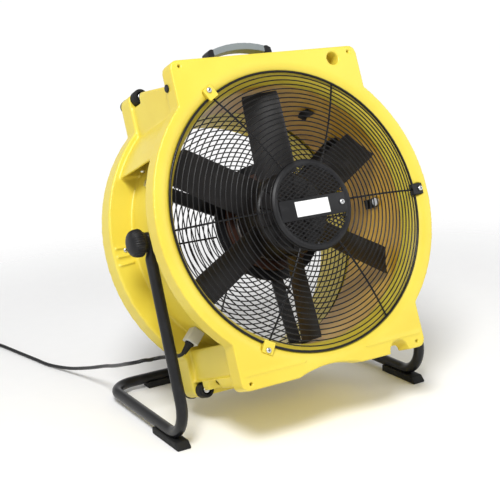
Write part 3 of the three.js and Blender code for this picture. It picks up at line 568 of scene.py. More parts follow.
def coil_points():
    points = []
    for i in range(1, COIL_HALF_TURNS * COIL_STEPS // 2 + 1):
        turns = i / COIL_STEPS
        lap = min(int(turns), len(COIL_TURNS) - 1)
        onto = min(lap + 1, len(COIL_TURNS) - 1)
        change = max(0.0, (turns - lap - COIL_SHIFT) / (1 - COIL_SHIFT))
        change = change * change * (3 - 2 * change)
        radius = COIL_TURNS[lap][0] * (1 - change) + COIL_TURNS[onto][0] * change
        layer = COIL_TURNS[lap][1] * (1 - change) + COIL_TURNS[onto][1] * change
        angle = 2 * math.pi * turns
        points.append(on_stand(
            COIL_CENTRE[0] + radius * math.cos(angle),
            COIL_CENTRE[1] + radius * math.sin(angle),
            CORD_D / 2 + COIL_LIFT + layer * LAYER,
        ))
    return points


def flowing(points, parts):
    """A smooth line through the points, with that many short steps between each two."""
    line = []
    for i in range(len(points) - 1):
        before = points[max(i - 1, 0)]
        here, ahead = points[i], points[i + 1]
        after = points[min(i + 2, len(points) - 1)]
        for k in range(parts):
            t = k / parts
            line.append(0.5 * (
                2 * here + (ahead - before) * t
                + (2 * before - 5 * here + 4 * ahead - after) * t ** 2
                + (3 * here - before - 3 * ahead + after) * t ** 3
            ))
    line.append(points[-1])
    return line


PLUG_NECK = on_stand(COIL_CENTRE[0] - 49.5, COIL_CENTRE[1] - 29.4, 17.8)
PARTS = 6
route = LEAD_POINTS + [on_stand(*p) for p in FLOOR_POINTS]
into_plug = [PLUG_NECK + Vector((0, y * MM, 0)) for y in (12, -4, -14)]
cord_path = flowing(route, PARTS) + coil_points() + into_plug
cord_length = sum((b - a).length for a, b in zip(cord_path, cord_path[1:]))
print("cord length", round(cord_length, 3))

# %% The cord
SIDES = 12
FREE_TO = on_stand(*FLOOR_POINTS[6])
cord = piece("mains_lead", swept(cord_path, CORD_D / 2 * MM, SIDES), CORD_SHEATH, None,
             ("cord_lead", "mains_cord", "cord_coil"), sharp=math.pi)
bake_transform(cord)

# %% The plug
PLUG_R, NECK_R = 17.5, 6.6
PLUG_L = 52
NECK_RINGS, NECK_RING_PITCH, NECK_RING_W = 5, 4, 2
FLAT_PIN, FLAT_PIN_X, FLAT_PIN_Y = (1.6, 18, 6.4), 6.35, 61
EARTH_PIN_R, EARTH_PIN_END = 2.4, 72
PIN_RISE = 5.95
plug_frame = Matrix.Translation(PLUG_NECK) @ Matrix.Rotation(math.pi, 4, "Z")
plug_profile = rounded(
    [(0, 0), (5.0, 0), (NECK_R, 22), (12.5, 27), (PLUG_R, 33), (PLUG_R, PLUG_L), (0, PLUG_L)],
    [0, 1.0, 3.0, 2.5, 3.5, 2.5, 0])
plug_rings = []
for i in range(NECK_RINGS):
    inner, start = 5.0 + 0.3 * i, 3.2 + NECK_RING_PITCH * i
    end = start + NECK_RING_W
    ring = [(inner, start), (NECK_R, start), (NECK_R, end), (inner, end)]
    plug_rings.append(lathe(ring, 32, plug_frame))
plug_body = piece("plug_body", joined([lathe(plug_profile, 48, plug_frame), *plug_rings]),
                  BLACK_RUBBER, "stand", ("mains_plug",))
pins = [slab(FLAT_PIN, plug_frame @ shifted(sx * FLAT_PIN_X, FLAT_PIN_Y, PIN_RISE)) for sx in (-1, 1)]
earth_pin = rounded([(0, PLUG_L - 1), (EARTH_PIN_R, PLUG_L - 1), (EARTH_PIN_R, EARTH_PIN_END),
                     (0, EARTH_PIN_END)], [0, 0, 1.4, 0])
pins.append(lathe(earth_pin, 20, plug_frame @ shifted(0, 0, -PIN_RISE)))
plug_pins = piece("plug_pins", joined(pins), ZINC, "stand", bevel=0.25)

# %% The tie round the coil
TIE_ANGLE = math.radians(250)
TIE_HALF_W, TIE_HALF_H, TIE_MIDDLE = 12.6, 10.9, 12.0
TIE_STEPS = 24
TIE_SQUARENESS = 0.6
TIE_T, TIE_W = 1.0, 5.0


def squared(value):
    """A sine or cosine pushed outward, so that a circle becomes a square with round corners."""
    return math.copysign(abs(value) ** TIE_SQUARENESS, value)


def tie_path():
    outward = Vector((math.cos(TIE_ANGLE), math.sin(TIE_ANGLE), 0))
    centre = on_stand(*COIL_CENTRE, TIE_MIDDLE) + outward * COIL_TURNS[1][0] * MM
    path = []
    for i in range(TIE_STEPS):
        angle = 2 * math.pi * i / TIE_STEPS
        across = outward * squared(math.cos(angle)) * TIE_HALF_W
        above = Vector((0, 0, squared(math.sin(angle)) * TIE_HALF_H))
        path.append(centre + (across + above) * MM)
    return path


TIE_ALONG = Vector((-math.sin(TIE_ANGLE), math.cos(TIE_ANGLE), 0))
tie = piece("cord_tie", swept(tie_path(), TIE_T * MM, 8, True, lambda i: (TIE_W / TIE_T, 1), TIE_ALONG),
            BLACK_PLASTIC, "stand")

# %% The strain relief
way_out = (off_gland(GLAND_REACH + 10) - off_gland(GLAND_REACH)).to_track_quat("Y", "Z")
relief_matrix = Matrix.Translation(off_gland(GLAND_REACH)) @ way_out.to_matrix().to_4x4()
relief_profile = rounded([(3.6, -1), (8.5, -1), (8.5, 2), (6.4, 5), (4.4, 21), (3.6, 21)],
                         [0, 0.8, 0.8, 1.5, 0.5, 0])
relief = piece("strain_relief", lathe(relief_profile, 32, relief_matrix), BLACK_RUBBER, "housing")

# %% [markdown]
# ## The moulded drum
# A rotational moulding has no sharp edge anywhere. Bevelling every edge of a body cut by dozens of
# tools rarely works, so the engineering solid is remeshed into small even faces and then relaxed,
# which wears every edge round at once. Before that, its facets are pushed out to the true circles
# that they stand for, and small ribs and pads are joined in, so that they melt into the wall as
# they do in a mould.

# %% True circles for the faceted drum
DUCT_R = 229.0
DUCT_SIDES = 60
MOUTH_R, MOUTH_DEPTH, MOUTH_STEPS = 267.0, 40.0, 4
NEAR_DUCT = 256.0
NEAR_MOUTH = 3.0
RIM_BAND = 6.0
RING_LIMITS = {"front": (275.0, 188.4), "rear": (281.0, 188.4)}
RING_STEPS = 20
REAR_FROM = 120.0


def mouth_lines():
    """The mouth's true quarter ellipse and the few chords that stand for it, as depth to radius."""
    fine = np.linspace(0, math.pi / 2, 60)
    coarse = np.linspace(0, math.pi / 2, MOUTH_STEPS + 1)
    curves = []
    for angle in (fine, coarse):
        curves.append((MOUTH_DEPTH * (1 - np.cos(angle)),
                       MOUTH_R - (MOUTH_R - DUCT_R) * np.sin(angle)))
    return curves


def facet_growth(angle, facet, phase):
    """How far a chord of a circle lies inside it at each angle, as a ratio of radii."""
    off_middle = np.mod(angle - phase, facet) - facet / 2
    return np.cos(off_middle) / math.cos(facet / 2)


def true_circles(mesh):
    count = len(mesh.vertices)
    flat = np.empty(count * 3)
    mesh.vertices.foreach_get("co", flat)
    turn = np.array(UNTURNED)
    own = (flat.reshape(-1, 3) @ turn[:3, :3].T + turn[:3, 3]) / MM
    radius = np.hypot(own[:, 0], own[:, 2])
    angle = np.arctan2(own[:, 2], own[:, 0])
    near = radius < NEAR_DUCT
    (true_depth, true_radius), (chord_depth, chord_radius) = mouth_lines()
    shift = np.interp(own[:, 1], true_depth, true_radius) - np.interp(
        own[:, 1], chord_depth, chord_radius)
    on_mouth = (own[:, 1] < MOUTH_DEPTH) & (
        np.abs(radius - np.interp(own[:, 1], chord_depth, chord_radius)) < NEAR_MOUTH)
    grown = radius + np.where(on_mouth, shift, 0)
    grown = np.where(near | on_mouth,
                     grown * facet_growth(angle, 2 * math.pi / DUCT_SIDES, 0), grown)
    at_back = own[:, 1] > REAR_FROM
    for name, (ring, half_width) in RING_LIMITS.items():
        side = math.acos(half_width / ring)
        beside = np.minimum(np.abs(angle), math.pi - np.abs(angle)) < side
        rim = (radius > ring - RIM_BAND) & beside & (at_back if name == "rear" else ~at_back)
        facet = 2 * side / RING_STEPS
        grown = np.where(rim, grown * facet_growth(angle, facet, side), grown)
    ratio = grown / radius
    own[:, 0] *= ratio
    own[:, 2] *= ratio
    back = np.array(HOUSING)
    mesh.vertices.foreach_set("co", ((own * MM) @ back[:3, :3].T + back[:3, 3]).ravel())


print("rings", RING_LIMITS)

# %% The drum itself
VOXEL = 1.9
DRUM_PASSES = 7
RIB_ANGLES = (178.6, 181.8, 185.0, -1.4, 1.8, 5.0)
RIB_SIZE, RIB_R, RIB_Y = (28, 6, 2.6), 260, 187
LEDGE_SIZE, LEDGE_X, LEDGE_Z = (118, 3.4, 3.0), 121, -254
ribs = [slab(RIB_SIZE, HOUSING @ around(degrees) @ shifted(RIB_R, RIB_Y, 0)) for degrees in RIB_ANGLES]
ledges = [slab(LEDGE_SIZE, HOUSING @ shifted(side * LEDGE_X, 0, LEDGE_Z)) for side in (-1, 1)]
drum_shape = joined([node_shape("housing"), *ribs, *ledges])
drum = softened("drum", drum_shape, VOXEL, DRUM_PASSES, true_circles)
dressed(drum, YELLOW, "housing", ("housing",))
# Faces inside the duct take the darker copy of the yellow, which is painted shade.
drum.data.materials.append(INNER_YELLOW_PAINTED_SHADE)
INNER_R, INNER_FROM = 233.0, 34.0
painted_shade_faces = 0
for face in drum.data.polygons:
    own = UNTURNED @ face.center / MM
    if own.y > INNER_FROM and math.hypot(own.x, own.z) < INNER_R:
        face.material_index = 1
        painted_shade_faces += 1
print("faces inside the duct", painted_shade_faces)

# %% [markdown]
# ## The rear collar
# The collar takes an air hose. It is one turned ring: a flange screwed to the drum, a long skirt
# that narrows a little, and a bead that keeps the hose from slipping off.

# %% Collar and its screws
DEPTH = 230.3
COLLAR_FLANGE_R, COLLAR_FLANGE_T = 267, 5
BEAD_R = 238
BEAD_FROM, COLLAR_END = DEPTH + 85.5, DEPTH + 90
COLLAR = rounded(
    [(236, DEPTH), (COLLAR_FLANGE_R, DEPTH), (COLLAR_FLANGE_R, DEPTH + COLLAR_FLANGE_T),
     (242.5, DEPTH + COLLAR_FLANGE_T), (235, BEAD_FROM - 0.9), (BEAD_R, BEAD_FROM),
     (BEAD_R, COLLAR_END), (230, COLLAR_END)],
    [0.8, 1.2, 1.6, 4, 1.2, 1.6, 1.6, 1.6])
piece("hose_collar", lathe(COLLAR, 180, HOUSING), YELLOW, "housing", ("rear_collar",))

PAN_HEAD = rounded([(0, 0), (4.6, 0), (4.6, 1.4), (3.2, 2.9), (0, 3.1)], [0, 0.3, 1.0, 1.0, 0])
RECESS_SIZE, RECESS_Y, RECESS_TURN = (5.0, 0.5, 1.0), 2.95, 0.4


def screw(matrix, size=1.0):
    """A pan-head screw with a cross recess, its head standing along +Y of matrix."""
    head = lathe([(r * size, y * size) for r, y in PAN_HEAD], 20, matrix)
    on_top = matrix @ shifted(0, RECESS_Y * size, 0)
    slots = [slab([v * size for v in RECESS_SIZE], on_top @ Matrix.Rotation(turn, 4, "Y"))
             for turn in (RECESS_TURN, RECESS_TURN + math.pi / 2)]
    return head, slots


def screws(name, matrices, body, size=1.0):
    heads, marks = [], []
    for matrix in matrices:
        head, slots = screw(matrix, size)
        heads.append(head)
        marks.extend(slots)
    piece(name, joined(heads), ZINC, body)
    piece(name + "_recess", joined(marks), BLACK_PLASTIC, body)


COLLAR_SCREWS, COLLAR_SCREW_R = 12, 256
screws("collar_screws", [
    HOUSING @ around(360 * (i + 0.5) / COLLAR_SCREWS)
    @ shifted(COLLAR_SCREW_R, DEPTH + COLLAR_FLANGE_T, 0) for i in range(COLLAR_SCREWS)], "housing")

# %% [markdown]
# ## The wire guards
# Each guard is a stack of wire rings welded to radial spokes. The front one is domed to clear the
# blades, the rear one is nearly flat. The rings are worked out from one spacing, and the dome is
# one curve of depth against radius, so every wire lies on it.

# %% Rings and spokes
GUARD_R = 245.0
RING_PITCH = 8.75
PLATE_R = 78.0
SPOKE_ANGLES = range(0, 360, 60)
RING_WIRE = 1.15
SPOKE_WIRE = 1.7
OUTER_WIRE = 2.2
WELD_LAP = 0.7
SPOKE_STEPS = 14
LARGE_RING = 150


def dome(base, height):
    def depth(radius):
        share = (max(radius, PLATE_R) - PLATE_R) / (GUARD_R - PLATE_R)
        return base - height * (1 - share ** 2)
    return depth


def guard(name, depth, side, innermost, node):
    wires = []
    radius = GUARD_R
    while radius > innermost:
        wire = OUTER_WIRE if radius == GUARD_R else RING_WIRE
        steps = 96 if radius > LARGE_RING else 64
        ring = [HOUSING @ Vector((
            radius * math.cos(2 * math.pi * i / steps) * MM, depth(radius) * MM,
            radius * math.sin(2 * math.pi * i / steps) * MM)) for i in range(steps)]
        wires.append(swept(ring, wire * MM, 8, True))
        radius -= RING_PITCH
    for degrees in SPOKE_ANGLES:
        inner = innermost - 6
        line = []
        for i in range(SPOKE_STEPS + 1):
            r = inner + (GUARD_R - inner) * i / SPOKE_STEPS
            drop = side * (RING_WIRE + SPOKE_WIRE - WELD_LAP) * (1 if i < SPOKE_STEPS else 0.4)
            line.append(HOUSING @ around(degrees) @ Vector((r * MM, (depth(r) + drop) * MM, 0)))
        wires.append(swept(line, SPOKE_WIRE * MM, 10))
    return piece(name, joined(wires), GUARD_WIRE, "housing", (node,), sharp=math.pi)


front_depth = dome(4.0, 34.0)
rear_depth = dome(226.8, -5.0)
guard("front_wire_guard", front_depth, 1, 72.0, "front_guard")
guard("rear_wire_guard", rear_depth, -1, 60.0, "rear_guard")

# %% [markdown]
# ## The plate in the middle of the front guard
# A black moulding covers the hub. Above and below a plain band it is pressed into a basket of
# open crossing strips, and a blank white label sits on the band. The strips are real ribs, cut to the
# circle by working out the chord that each one makes.

# %% Centre plate
PLATE_FRONT = -35.0
RIM_BACK, RIM_INNER_R = -32.5, 67
RIM = rounded(
    [(RIM_INNER_R, PLATE_FRONT), (73, PLATE_FRONT - 2), (PLATE_R, PLATE_FRONT + 1.5),
     (PLATE_R, RIM_BACK), (RIM_INNER_R, RIM_BACK)],
    [1, 1.5, 1.5, 0.5, 0.5])
BAND_HALF, BAND_Z, BAND_T = 19.0, -5, 2.2
BASKET_R = 70.0
STRIP_PITCH, STRIP_SLOPE, STRIP_R = 5.4, 0.62, 1.05
STRIPS_EACH_SIDE = 22
REACH = 100


def strips():
    """Crossing strips, kept inside the rim and off the plain band."""
    made = []
    for slope in (1, -1):
        for i in range(-STRIPS_EACH_SIDE, STRIPS_EACH_SIDE + 1):
            offset = i * STRIP_PITCH * math.sqrt(2)
            inside = []
            for x in range(-REACH, REACH + 1):
                z = slope * x * STRIP_SLOPE + offset
                if math.hypot(x, z) < BASKET_R and abs(z - BAND_Z) > BAND_HALF:
                    inside.append((x, z))
                    continue
                if len(inside) > 3:
                    made.append((inside[0], inside[-1], slope))
                inside = []
    return made


basket = []
for start, end, slope in strips():
    y = PLATE_FRONT - (0.7 if slope > 0 else 0.2)
    basket.append(swept([spot(x, y, z) for x, z in (start, end)], STRIP_R * MM, 8))
band = slab((2 * RIM_INNER_R - 2, BAND_T, 2 * BAND_HALF - 2), HOUSING @ shifted(0, PLATE_FRONT, BAND_Z))
piece("centre_plate", joined([lathe(RIM, 96, HOUSING), band]), BLACK_PLASTIC, "housing",
      ("guard_centre_plate",), bevel=0.4)
piece("centre_basket", joined(basket), BLACK_PLASTIC, "housing")

# %% Label and plate screws
LABEL_SIZE = (67, 1.2, 26)
LABEL_SPOT = (-2.5, PLATE_FRONT - 1.5, BAND_Z)
PLATE_SCREW_SPOT = (58, PLATE_FRONT - BAND_T / 2, -4)
BIG_SCREW = 1.05
piece("label_plate", slab(LABEL_SIZE, HOUSING @ shifted(*LABEL_SPOT)), LABEL_WHITE, "housing",
      ("badge_plate",), bevel=0.5)
screws("plate_screw", [HOUSING @ shifted(*PLATE_SCREW_SPOT) @ turned(180, "X")], "housing", BIG_SCREW)

# %% [markdown]
# ## The clips
# Three blocks hold the outer wire in pockets of the mouth, a black one on the right and two in the
# housing's yellow. Their solids are right already, so they only need worn edges and a finish, and
# the three screws are rebuilt with a recess.

# %% Clips and clip screws
CLIP_SCREW_R, CLIP_FRONT = 256, -2.6
SHANK_R, SHANK_L = 2.4, 17
for i, degrees in enumerate((0, 120, 240)):
    material, slot = ((BLACK_PLASTIC, "black_plastic") if i == 0 else (YELLOW, "yellow_shell"))
    clip = softened(f"clip_{i + 1}", node_shape(f"front_clip_{i + 1}"), 0.6, 3)
    dressed(clip, material, "housing", (f"front_clip_{i + 1}",))
    at = HOUSING @ around(degrees) @ shifted(CLIP_SCREW_R, CLIP_FRONT, 0)
    head, slots = screw(at @ turned(180, "X"), BIG_SCREW)
    shank = lathe([(0, 0), (SHANK_R, 0), (SHANK_R, SHANK_L), (0, SHANK_L + 1)], 16, at)
    piece(f"clip_screw_{i + 1}", joined([head, shank]), ZINC, "housing",
          (f"front_clip_screw_{i + 1}",))
    piece(f"clip_screw_recess_{i + 1}", joined(slots), BLACK_PLASTIC, "housing")

# %% [markdown]
# ## The impeller
# Six broad paddles stand on a cup-shaped hub. A flat box would show straight away, so a blade is a
# closed skin over a thin airfoil: the chord, the pitch and the camber change along the span, and
# the corners of the tip are rounded by shortening the chord there.

# %% Blades
HUB_R = 73.0
TIP_R = 224.0
BLADE_DEPTH = 60.0
CHORDS = (72.0, 66.0)
PITCHES = (math.radians(38), math.radians(25))
BLADE_T = 4.4
CAMBER = 6.0
ROOT_LAP = 1.5
TIP_FROM, TIP_TRIM = 0.90, 0.05
SPAN_STEPS = 26
CHORD_STEPS = 18


def blade_section(part):
    """The outline of the blade at that share of its span, as points in millimetres."""
    tip = max(0.0, (part - TIP_FROM) / (1 - TIP_FROM))
    chord = (CHORDS[0] + (CHORDS[1] - CHORDS[0]) * part) * (1 - TIP_TRIM * tip ** 3)
    pitch = PITCHES[0] + (PITCHES[1] - PITCHES[0]) * part
    outline = []
    for k in range(2 * CHORD_STEPS):
        turn = 2 * math.pi * k / (2 * CHORD_STEPS)
        along = 0.5 * math.cos(turn)
        thick = 0.5 * BLADE_T * math.sin(turn) * (1 - 0.35 * along) * (1 - 0.4 * part)
        lift = thick + CAMBER * (1 - (2 * along) ** 2)
        outline.append((
            BLADE_DEPTH + along * chord * math.sin(pitch) + lift * math.cos(pitch),
            along * chord * math.cos(pitch) - lift * math.sin(pitch)))
    return outline


def blade(matrix):
    vertices = []
    for i in range(SPAN_STEPS + 1):
        part = i / SPAN_STEPS
        x = HUB_R - ROOT_LAP + (TIP_R - HUB_R + ROOT_LAP) * part
        for y, z in blade_section(part):
            reach = x - (math.hypot(x, z) - x) * part
            vertices.append(matrix @ Vector((reach * MM, y * MM, z * MM)))
    ring = 2 * CHORD_STEPS
    faces = grid_faces(SPAN_STEPS + 1, ring)
    faces.append(tuple(reversed(range(ring))))
    faces.append(tuple(range(SPAN_STEPS * ring, (SPAN_STEPS + 1) * ring)))
    return vertices, faces


BLADES, BLADE_PHASE = 6, 29.0
BLADE_SHARP = math.radians(60)
for i in range(BLADES):
    at = HOUSING @ around(BLADE_PHASE + 360 / BLADES * i)
    piece(f"paddle_{i + 1}", blade(at), BLADE_PLASTIC, "impeller",
          (f"blade_{i + 1}",), sharp=BLADE_SHARP)

# %% Hub
HUB_FRONT, HUB_BACK, HUB_WALL, HUB_FACE = 30, 104, 6, 8
HUB_BORE = HUB_R - HUB_WALL
HUB = rounded(
    [(0, HUB_FRONT), (HUB_R - 7, HUB_FRONT), (HUB_R, HUB_FRONT + 7), (HUB_R, HUB_BACK),
     (HUB_BORE, HUB_BACK), (HUB_BORE, HUB_FRONT + HUB_FACE), (0, HUB_FRONT + HUB_FACE)],
    [0, 5, 5, 1.5, 1.5, 4, 0])
HUB_RIBS, HUB_RIB_SIZE, HUB_RIB_R = 12, (3, 3, 42), 46
hub_ribs = [slab(HUB_RIB_SIZE, HOUSING @ around(360 / HUB_RIBS * (i + 0.5))
                 @ shifted(HUB_RIB_R, HUB_FRONT - 0.6, 0) @ turned(90, "Y")) for i in range(HUB_RIBS)]
piece("hub_cup", joined([lathe(HUB, 96, HOUSING), *hub_ribs]), BLADE_PLASTIC, "impeller",
      ("impeller_hub",), bevel=0.6)

# %% [markdown]
# ## The motor behind the hub
# The stator is a turned casing with cooling ribs, on a wider back plate. A ring in front of the plate
# is coloured dark red-brown, a painted warm tint of light from behind the motor. Three flat arms carry
# the stator, bent at their ends into feet that are bolted through the duct. The arms, the shaft and the
# small bolts keep their engineering solids and only get softer edges and a finish.

# %% Motor
CASE_BORE, CASE_R, CASE_WIDE_R = 17.3, 63, 72
CASE_FRONT, CASE_BACK = 42, 149.7
CASE = rounded(
    [(CASE_BORE, CASE_FRONT), (CASE_R - 3, CASE_FRONT), (CASE_R, CASE_FRONT + 3), (CASE_R, 108),
     (CASE_WIDE_R, 110), (CASE_WIDE_R, CASE_BACK), (CASE_BORE, CASE_BACK)],
    [0, 1.5, 1.5, 2, 3, 2, 0])
FINS, FIN_SIZE, FIN_R, FIN_Y = 30, (9, 30, 2.4), 70.5, 131
case_fins = [slab(FIN_SIZE, HOUSING @ around(360 / FINS * i) @ shifted(FIN_R, FIN_Y, 0))
             for i in range(FINS)]
piece("motor_case", joined([lathe(CASE, 96, HOUSING), *case_fins]), CASTING, "housing",
      ("motor_stator",), bevel=0.5)
# The next ring, in front of the back plate, is coloured dark red-brown: painted warm light from behind
# the motor.
RINGS_BORE, TINTED_RING_R, BACK_PLATE_R = 73, 90, 108
TINTED_RING = rounded([(RINGS_BORE, 112), (TINTED_RING_R, 112), (TINTED_RING_R, 119), (RINGS_BORE, 119)],
                  [1, 2.5, 2.5, 1])
piece("painted_tint_ring", lathe(TINTED_RING, 96, HOUSING), PAINTED_WARM_TINT, "housing")
BACK_PLATE = rounded([(RINGS_BORE, 119.3), (BACK_PLATE_R, 119.3), (BACK_PLATE_R, 124),
                      (RINGS_BORE, 124)], [0.5, 1.2, 1.2, 0.5])
piece("motor_back_plate", lathe(BACK_PLATE, 96, HOUSING), BLACK_STEEL, "housing")

# %% Engineering solids that keep their shape
KEPT = {
    "motor_shaft": (ZINC, 0.8), "front_bearing": (ZINC, 0.8), "rear_bearing": (ZINC, 0.8),
    "pivot_bolt": (ZINC, 0.5), "arm_bolt": (ZINC, 0.5), "motor_arm": (BLACK_STEEL, 0.9),
}
kept = 0
for start, (material, width) in KEPT.items():
    for name in nodes:
        if name.startswith(start):
            nodes[name].data.materials.clear()
            nodes[name].data.materials.append(material)
            bevelled(nodes[name], width)
            kept += 1
print("kept with a finish", kept)

# %% Small brackets inside the duct
BRACKET_T, BRACKET_W = 3.2, 18
for i, degrees in enumerate((0, 56)):
    at = HOUSING @ around(degrees) @ shifted(226.6, 110, 0)
    shape = joined([slab((BRACKET_T, 30, BRACKET_W), at),
                    slab((9, BRACKET_T, BRACKET_W), at @ shifted(-4, 14, 0))])
    piece(f"duct_bracket_{i + 1}", shape, BLACK_PLASTIC, "housing", bevel=0.9)

# %% Blind plug and side screws
BLIND_PLUG_SPOT = (-188.6, 27, 239)
SHELF_SCREW_SPOT = (-214, 138, 127.6)
FLANGE_SCREW_SPOT = (-256, 189.2, 2)
SIDE_SCREW = 1.1
BLIND_PLUG = rounded([(0, 0), (7, 0), (7, 1.6), (5.6, 2.8), (0, 3.0)], [0, 0, 0.8, 0.8, 0])
piece("blind_plug", lathe(BLIND_PLUG, 32, HOUSING @ shifted(*BLIND_PLUG_SPOT) @ turned(90, "Z")),
      BLACK_PLASTIC, "housing")
screws("shelf_screw", [HOUSING @ shifted(*SHELF_SCREW_SPOT) @ turned(-90, "X")], "housing", SIDE_SCREW)
screws("flange_screw", [HOUSING @ shifted(*FLANGE_SCREW_SPOT) @ turned(180, "X")], "housing",
       SIDE_SCREW)

# %% [markdown]
# ## The handle
# A grey arched grip between two black legs. Both are short mouldings with big soft edges, so the
# remesh that served the drum serves here too, with a finer grid.

# %% Grip and legs
FINE = 0.9
HANDLE_PASSES = 10
HANDLE_SCREW_X, HANDLE_SCREW_Z, HANDLE_SCREW = 79, 267.4, 0.9
for name, node, material, slot in (
        ("handle_bar", "handle_grip", GRIP_GREY, "grey_plastic"),
        ("handle_post_left", "handle_leg_left", BLACK_PLASTIC, "black_plastic"),
        ("handle_post_right", "handle_leg_right", BLACK_PLASTIC, "black_plastic")):
    part = softened(name, node_shape(node), FINE, HANDLE_PASSES)
    dressed(part, material, "housing", (node,))
screws("handle_screws", [
    HOUSING @ shifted(side * HANDLE_SCREW_X, PIVOT_DEPTH / MM, HANDLE_SCREW_Z) @ turned(90, "X")
    for side in (-1, 1)], "housing", HANDLE_SCREW)

# %% [markdown]
# ## Rubber buffers and feet
# Each corner has a round buffer in front of the rear flange and a foot behind it, on one bolt. They
# are turned shapes, so one loop over the four corners makes all twelve pieces.

# %% Buffers, feet and their bolts
CORNER_X, CORNER_Z = 171.4, 268
BOLT_HOLE_R, BOLT_R, BOLT_HEAD_R, BOLT_END = 3.5, 2.9, 5.5, 241.3
BUFFER_R, BUFFER_FRONT, BUFFER_SEAT, BUFFER_BACK = 14, 168.7, 173.7, 188.7
FOOT_END = DEPTH + 14
BUFFER = rounded(
    [(BOLT_HOLE_R, BUFFER_SEAT), (8, BUFFER_SEAT), (8, BUFFER_FRONT), (BUFFER_R, BUFFER_FRONT),
     (BUFFER_R, BUFFER_BACK), (BOLT_HOLE_R, BUFFER_BACK)],
    [0, 0.4, 0.8, 3.2, 1.0, 0])
FOOT = rounded([(BOLT_HOLE_R, DEPTH), (13, DEPTH), (12.6, FOOT_END), (BOLT_HOLE_R, FOOT_END)],
               [0, 0.6, 3.2, 0.6])
CORNER_BOLT = rounded(
    [(0, BUFFER_FRONT + 1), (BOLT_HEAD_R, BUFFER_FRONT + 1), (BOLT_HEAD_R, BUFFER_SEAT - 0.3),
     (BOLT_R, BUFFER_SEAT - 0.3), (BOLT_R, BOLT_END), (0, BOLT_END)],
    [0, 1.0, 0.3, 0, 0.6, 0])
for place, sx, sz in (("top_left", -1, 1), ("top_right", 1, 1),
                      ("bottom_left", -1, -1), ("bottom_right", 1, -1)):
    at = HOUSING @ shifted(sx * CORNER_X, 0, sz * CORNER_Z)
    piece(f"buffer_{place}", lathe(BUFFER, 48, at), BLACK_RUBBER, "housing",
          (f"corner_buffer_{place}",))
    piece(f"foot_{place}", lathe(FOOT, 48, at), BLACK_RUBBER, "housing",
          (f"corner_foot_{place}",))
    piece(f"bolt_{place}", lathe(CORNER_BOLT, 24, at), ZINC, "housing",
          (f"corner_bolt_{place}",))

# %% [markdown]
# ## The bent tube stand
# One tube makes the whole stand: down from the left pivot, back along the floor, across, forward
# and up again. It is a single sweep whose section turns from round to flat near each end, as a
# press would leave it, so there is no joint to hide.

# %% Stand
TUBE_R = 10.0
STAND_X, PIVOT_DROP = 253.0, 328.7
FRONT_REACH, REAR_REACH = 105.4, 229.8
BENDS = (52.0, 48.0, 48.0, 52.0)
BEND_STEPS = 16
EYE_RISE, EYE_HALF, FLAT_END, FLAT_FADE = 16.0, 0.5, 23.0, 16.0
EYE_WIDER, EYE_ROUND = 0.12, 9.0


def bent(corners, radii):
    points = [Vector(corners[0])]
    for i, radius in enumerate(radii, start=1):
        into = (Vector(corners[i]) - Vector(corners[i - 1])).normalized()
        out = (Vector(corners[i + 1]) - Vector(corners[i])).normalized()
        turn = into.angle(out)
        start = Vector(corners[i]) - into * radius * math.tan(turn / 2)
        inward = (out - into * out.dot(into)).normalized()
        centre = start + inward * radius
        for k in range(BEND_STEPS + 1):
            angle = turn * k / BEND_STEPS
            points.append(centre - inward * radius * math.cos(angle) + into * radius * math.sin(angle))
    points.append(Vector(corners[-1]))
    return points


down = Vector((0, -FRONT_REACH, -PIVOT_DROP)).normalized()
eyes = [Vector((sx * STAND_X, 0, 0)) - down * EYE_RISE for sx in (-1, 1)]
corner_points = [eyes[0], (-STAND_X, -FRONT_REACH, -PIVOT_DROP), (-STAND_X, REAR_REACH, -PIVOT_DROP),
                 (STAND_X, REAR_REACH, -PIVOT_DROP), (STAND_X, -FRONT_REACH, -PIVOT_DROP), eyes[1]]
PIVOT_POINT = Matrix.Translation(pivot)
centre_line = bent(corner_points, BENDS)
END_ZONE = EYE_RISE + FLAT_END + FLAT_FADE
END_STEP = 3.0
FROM_END = [END_ZONE - END_STEP * i for i in range(int(END_ZONE / END_STEP) + 1)]
lead_in = [centre_line[0] + down * s for s in reversed(FROM_END)]
lead_out = [centre_line[-1] + down * s for s in FROM_END]
tube_line = [centre_line[0], *lead_in, *centre_line[1:-1], *lead_out, centre_line[-1]]
tube_line = [PIVOT_POINT @ (p * MM) for p in tube_line]


def tube_section(i):
    near = min((tube_line[i] - tube_line[0]).length, (tube_line[i] - tube_line[-1]).length) / MM
    share = min(max((near - EYE_RISE - FLAT_END) / FLAT_FADE + 0.5, 0.0), 1.0)
    share = share * share * (3 - 2 * share)
    close = min(near / EYE_ROUND, 1.0)
    rounding = math.sqrt(max(1 - (1 - close) ** 2, 0.02))
    return EYE_HALF + (1 - EYE_HALF) * share, (1 + EYE_WIDER * (1 - share)) * rounding


piece("tube_stand", swept(tube_line, TUBE_R * MM, 32, False, tube_section, Vector((1, 0, 0))),
      BLACK_STEEL, "stand", ("stand_frame",), sharp=math.radians(60))

# %% Pads under the stand
PAD_VOXEL, SOFT_PASSES = 1.2, 6
for name in ("front_pad_left", "front_pad_right", "rear_pad_left", "rear_pad_right"):
    pad = softened(name + "_rubber", node_shape(name), PAD_VOXEL, SOFT_PASSES)
    dressed(pad, BLACK_RUBBER, "stand", (name,))

# %% [markdown]
# ## The tilt knobs
# A round dome whose rim is cut with fine grooves. The profile is turned as before, but here the
# radius also follows a wave round the rim, which fades out on the dome and at the neck.

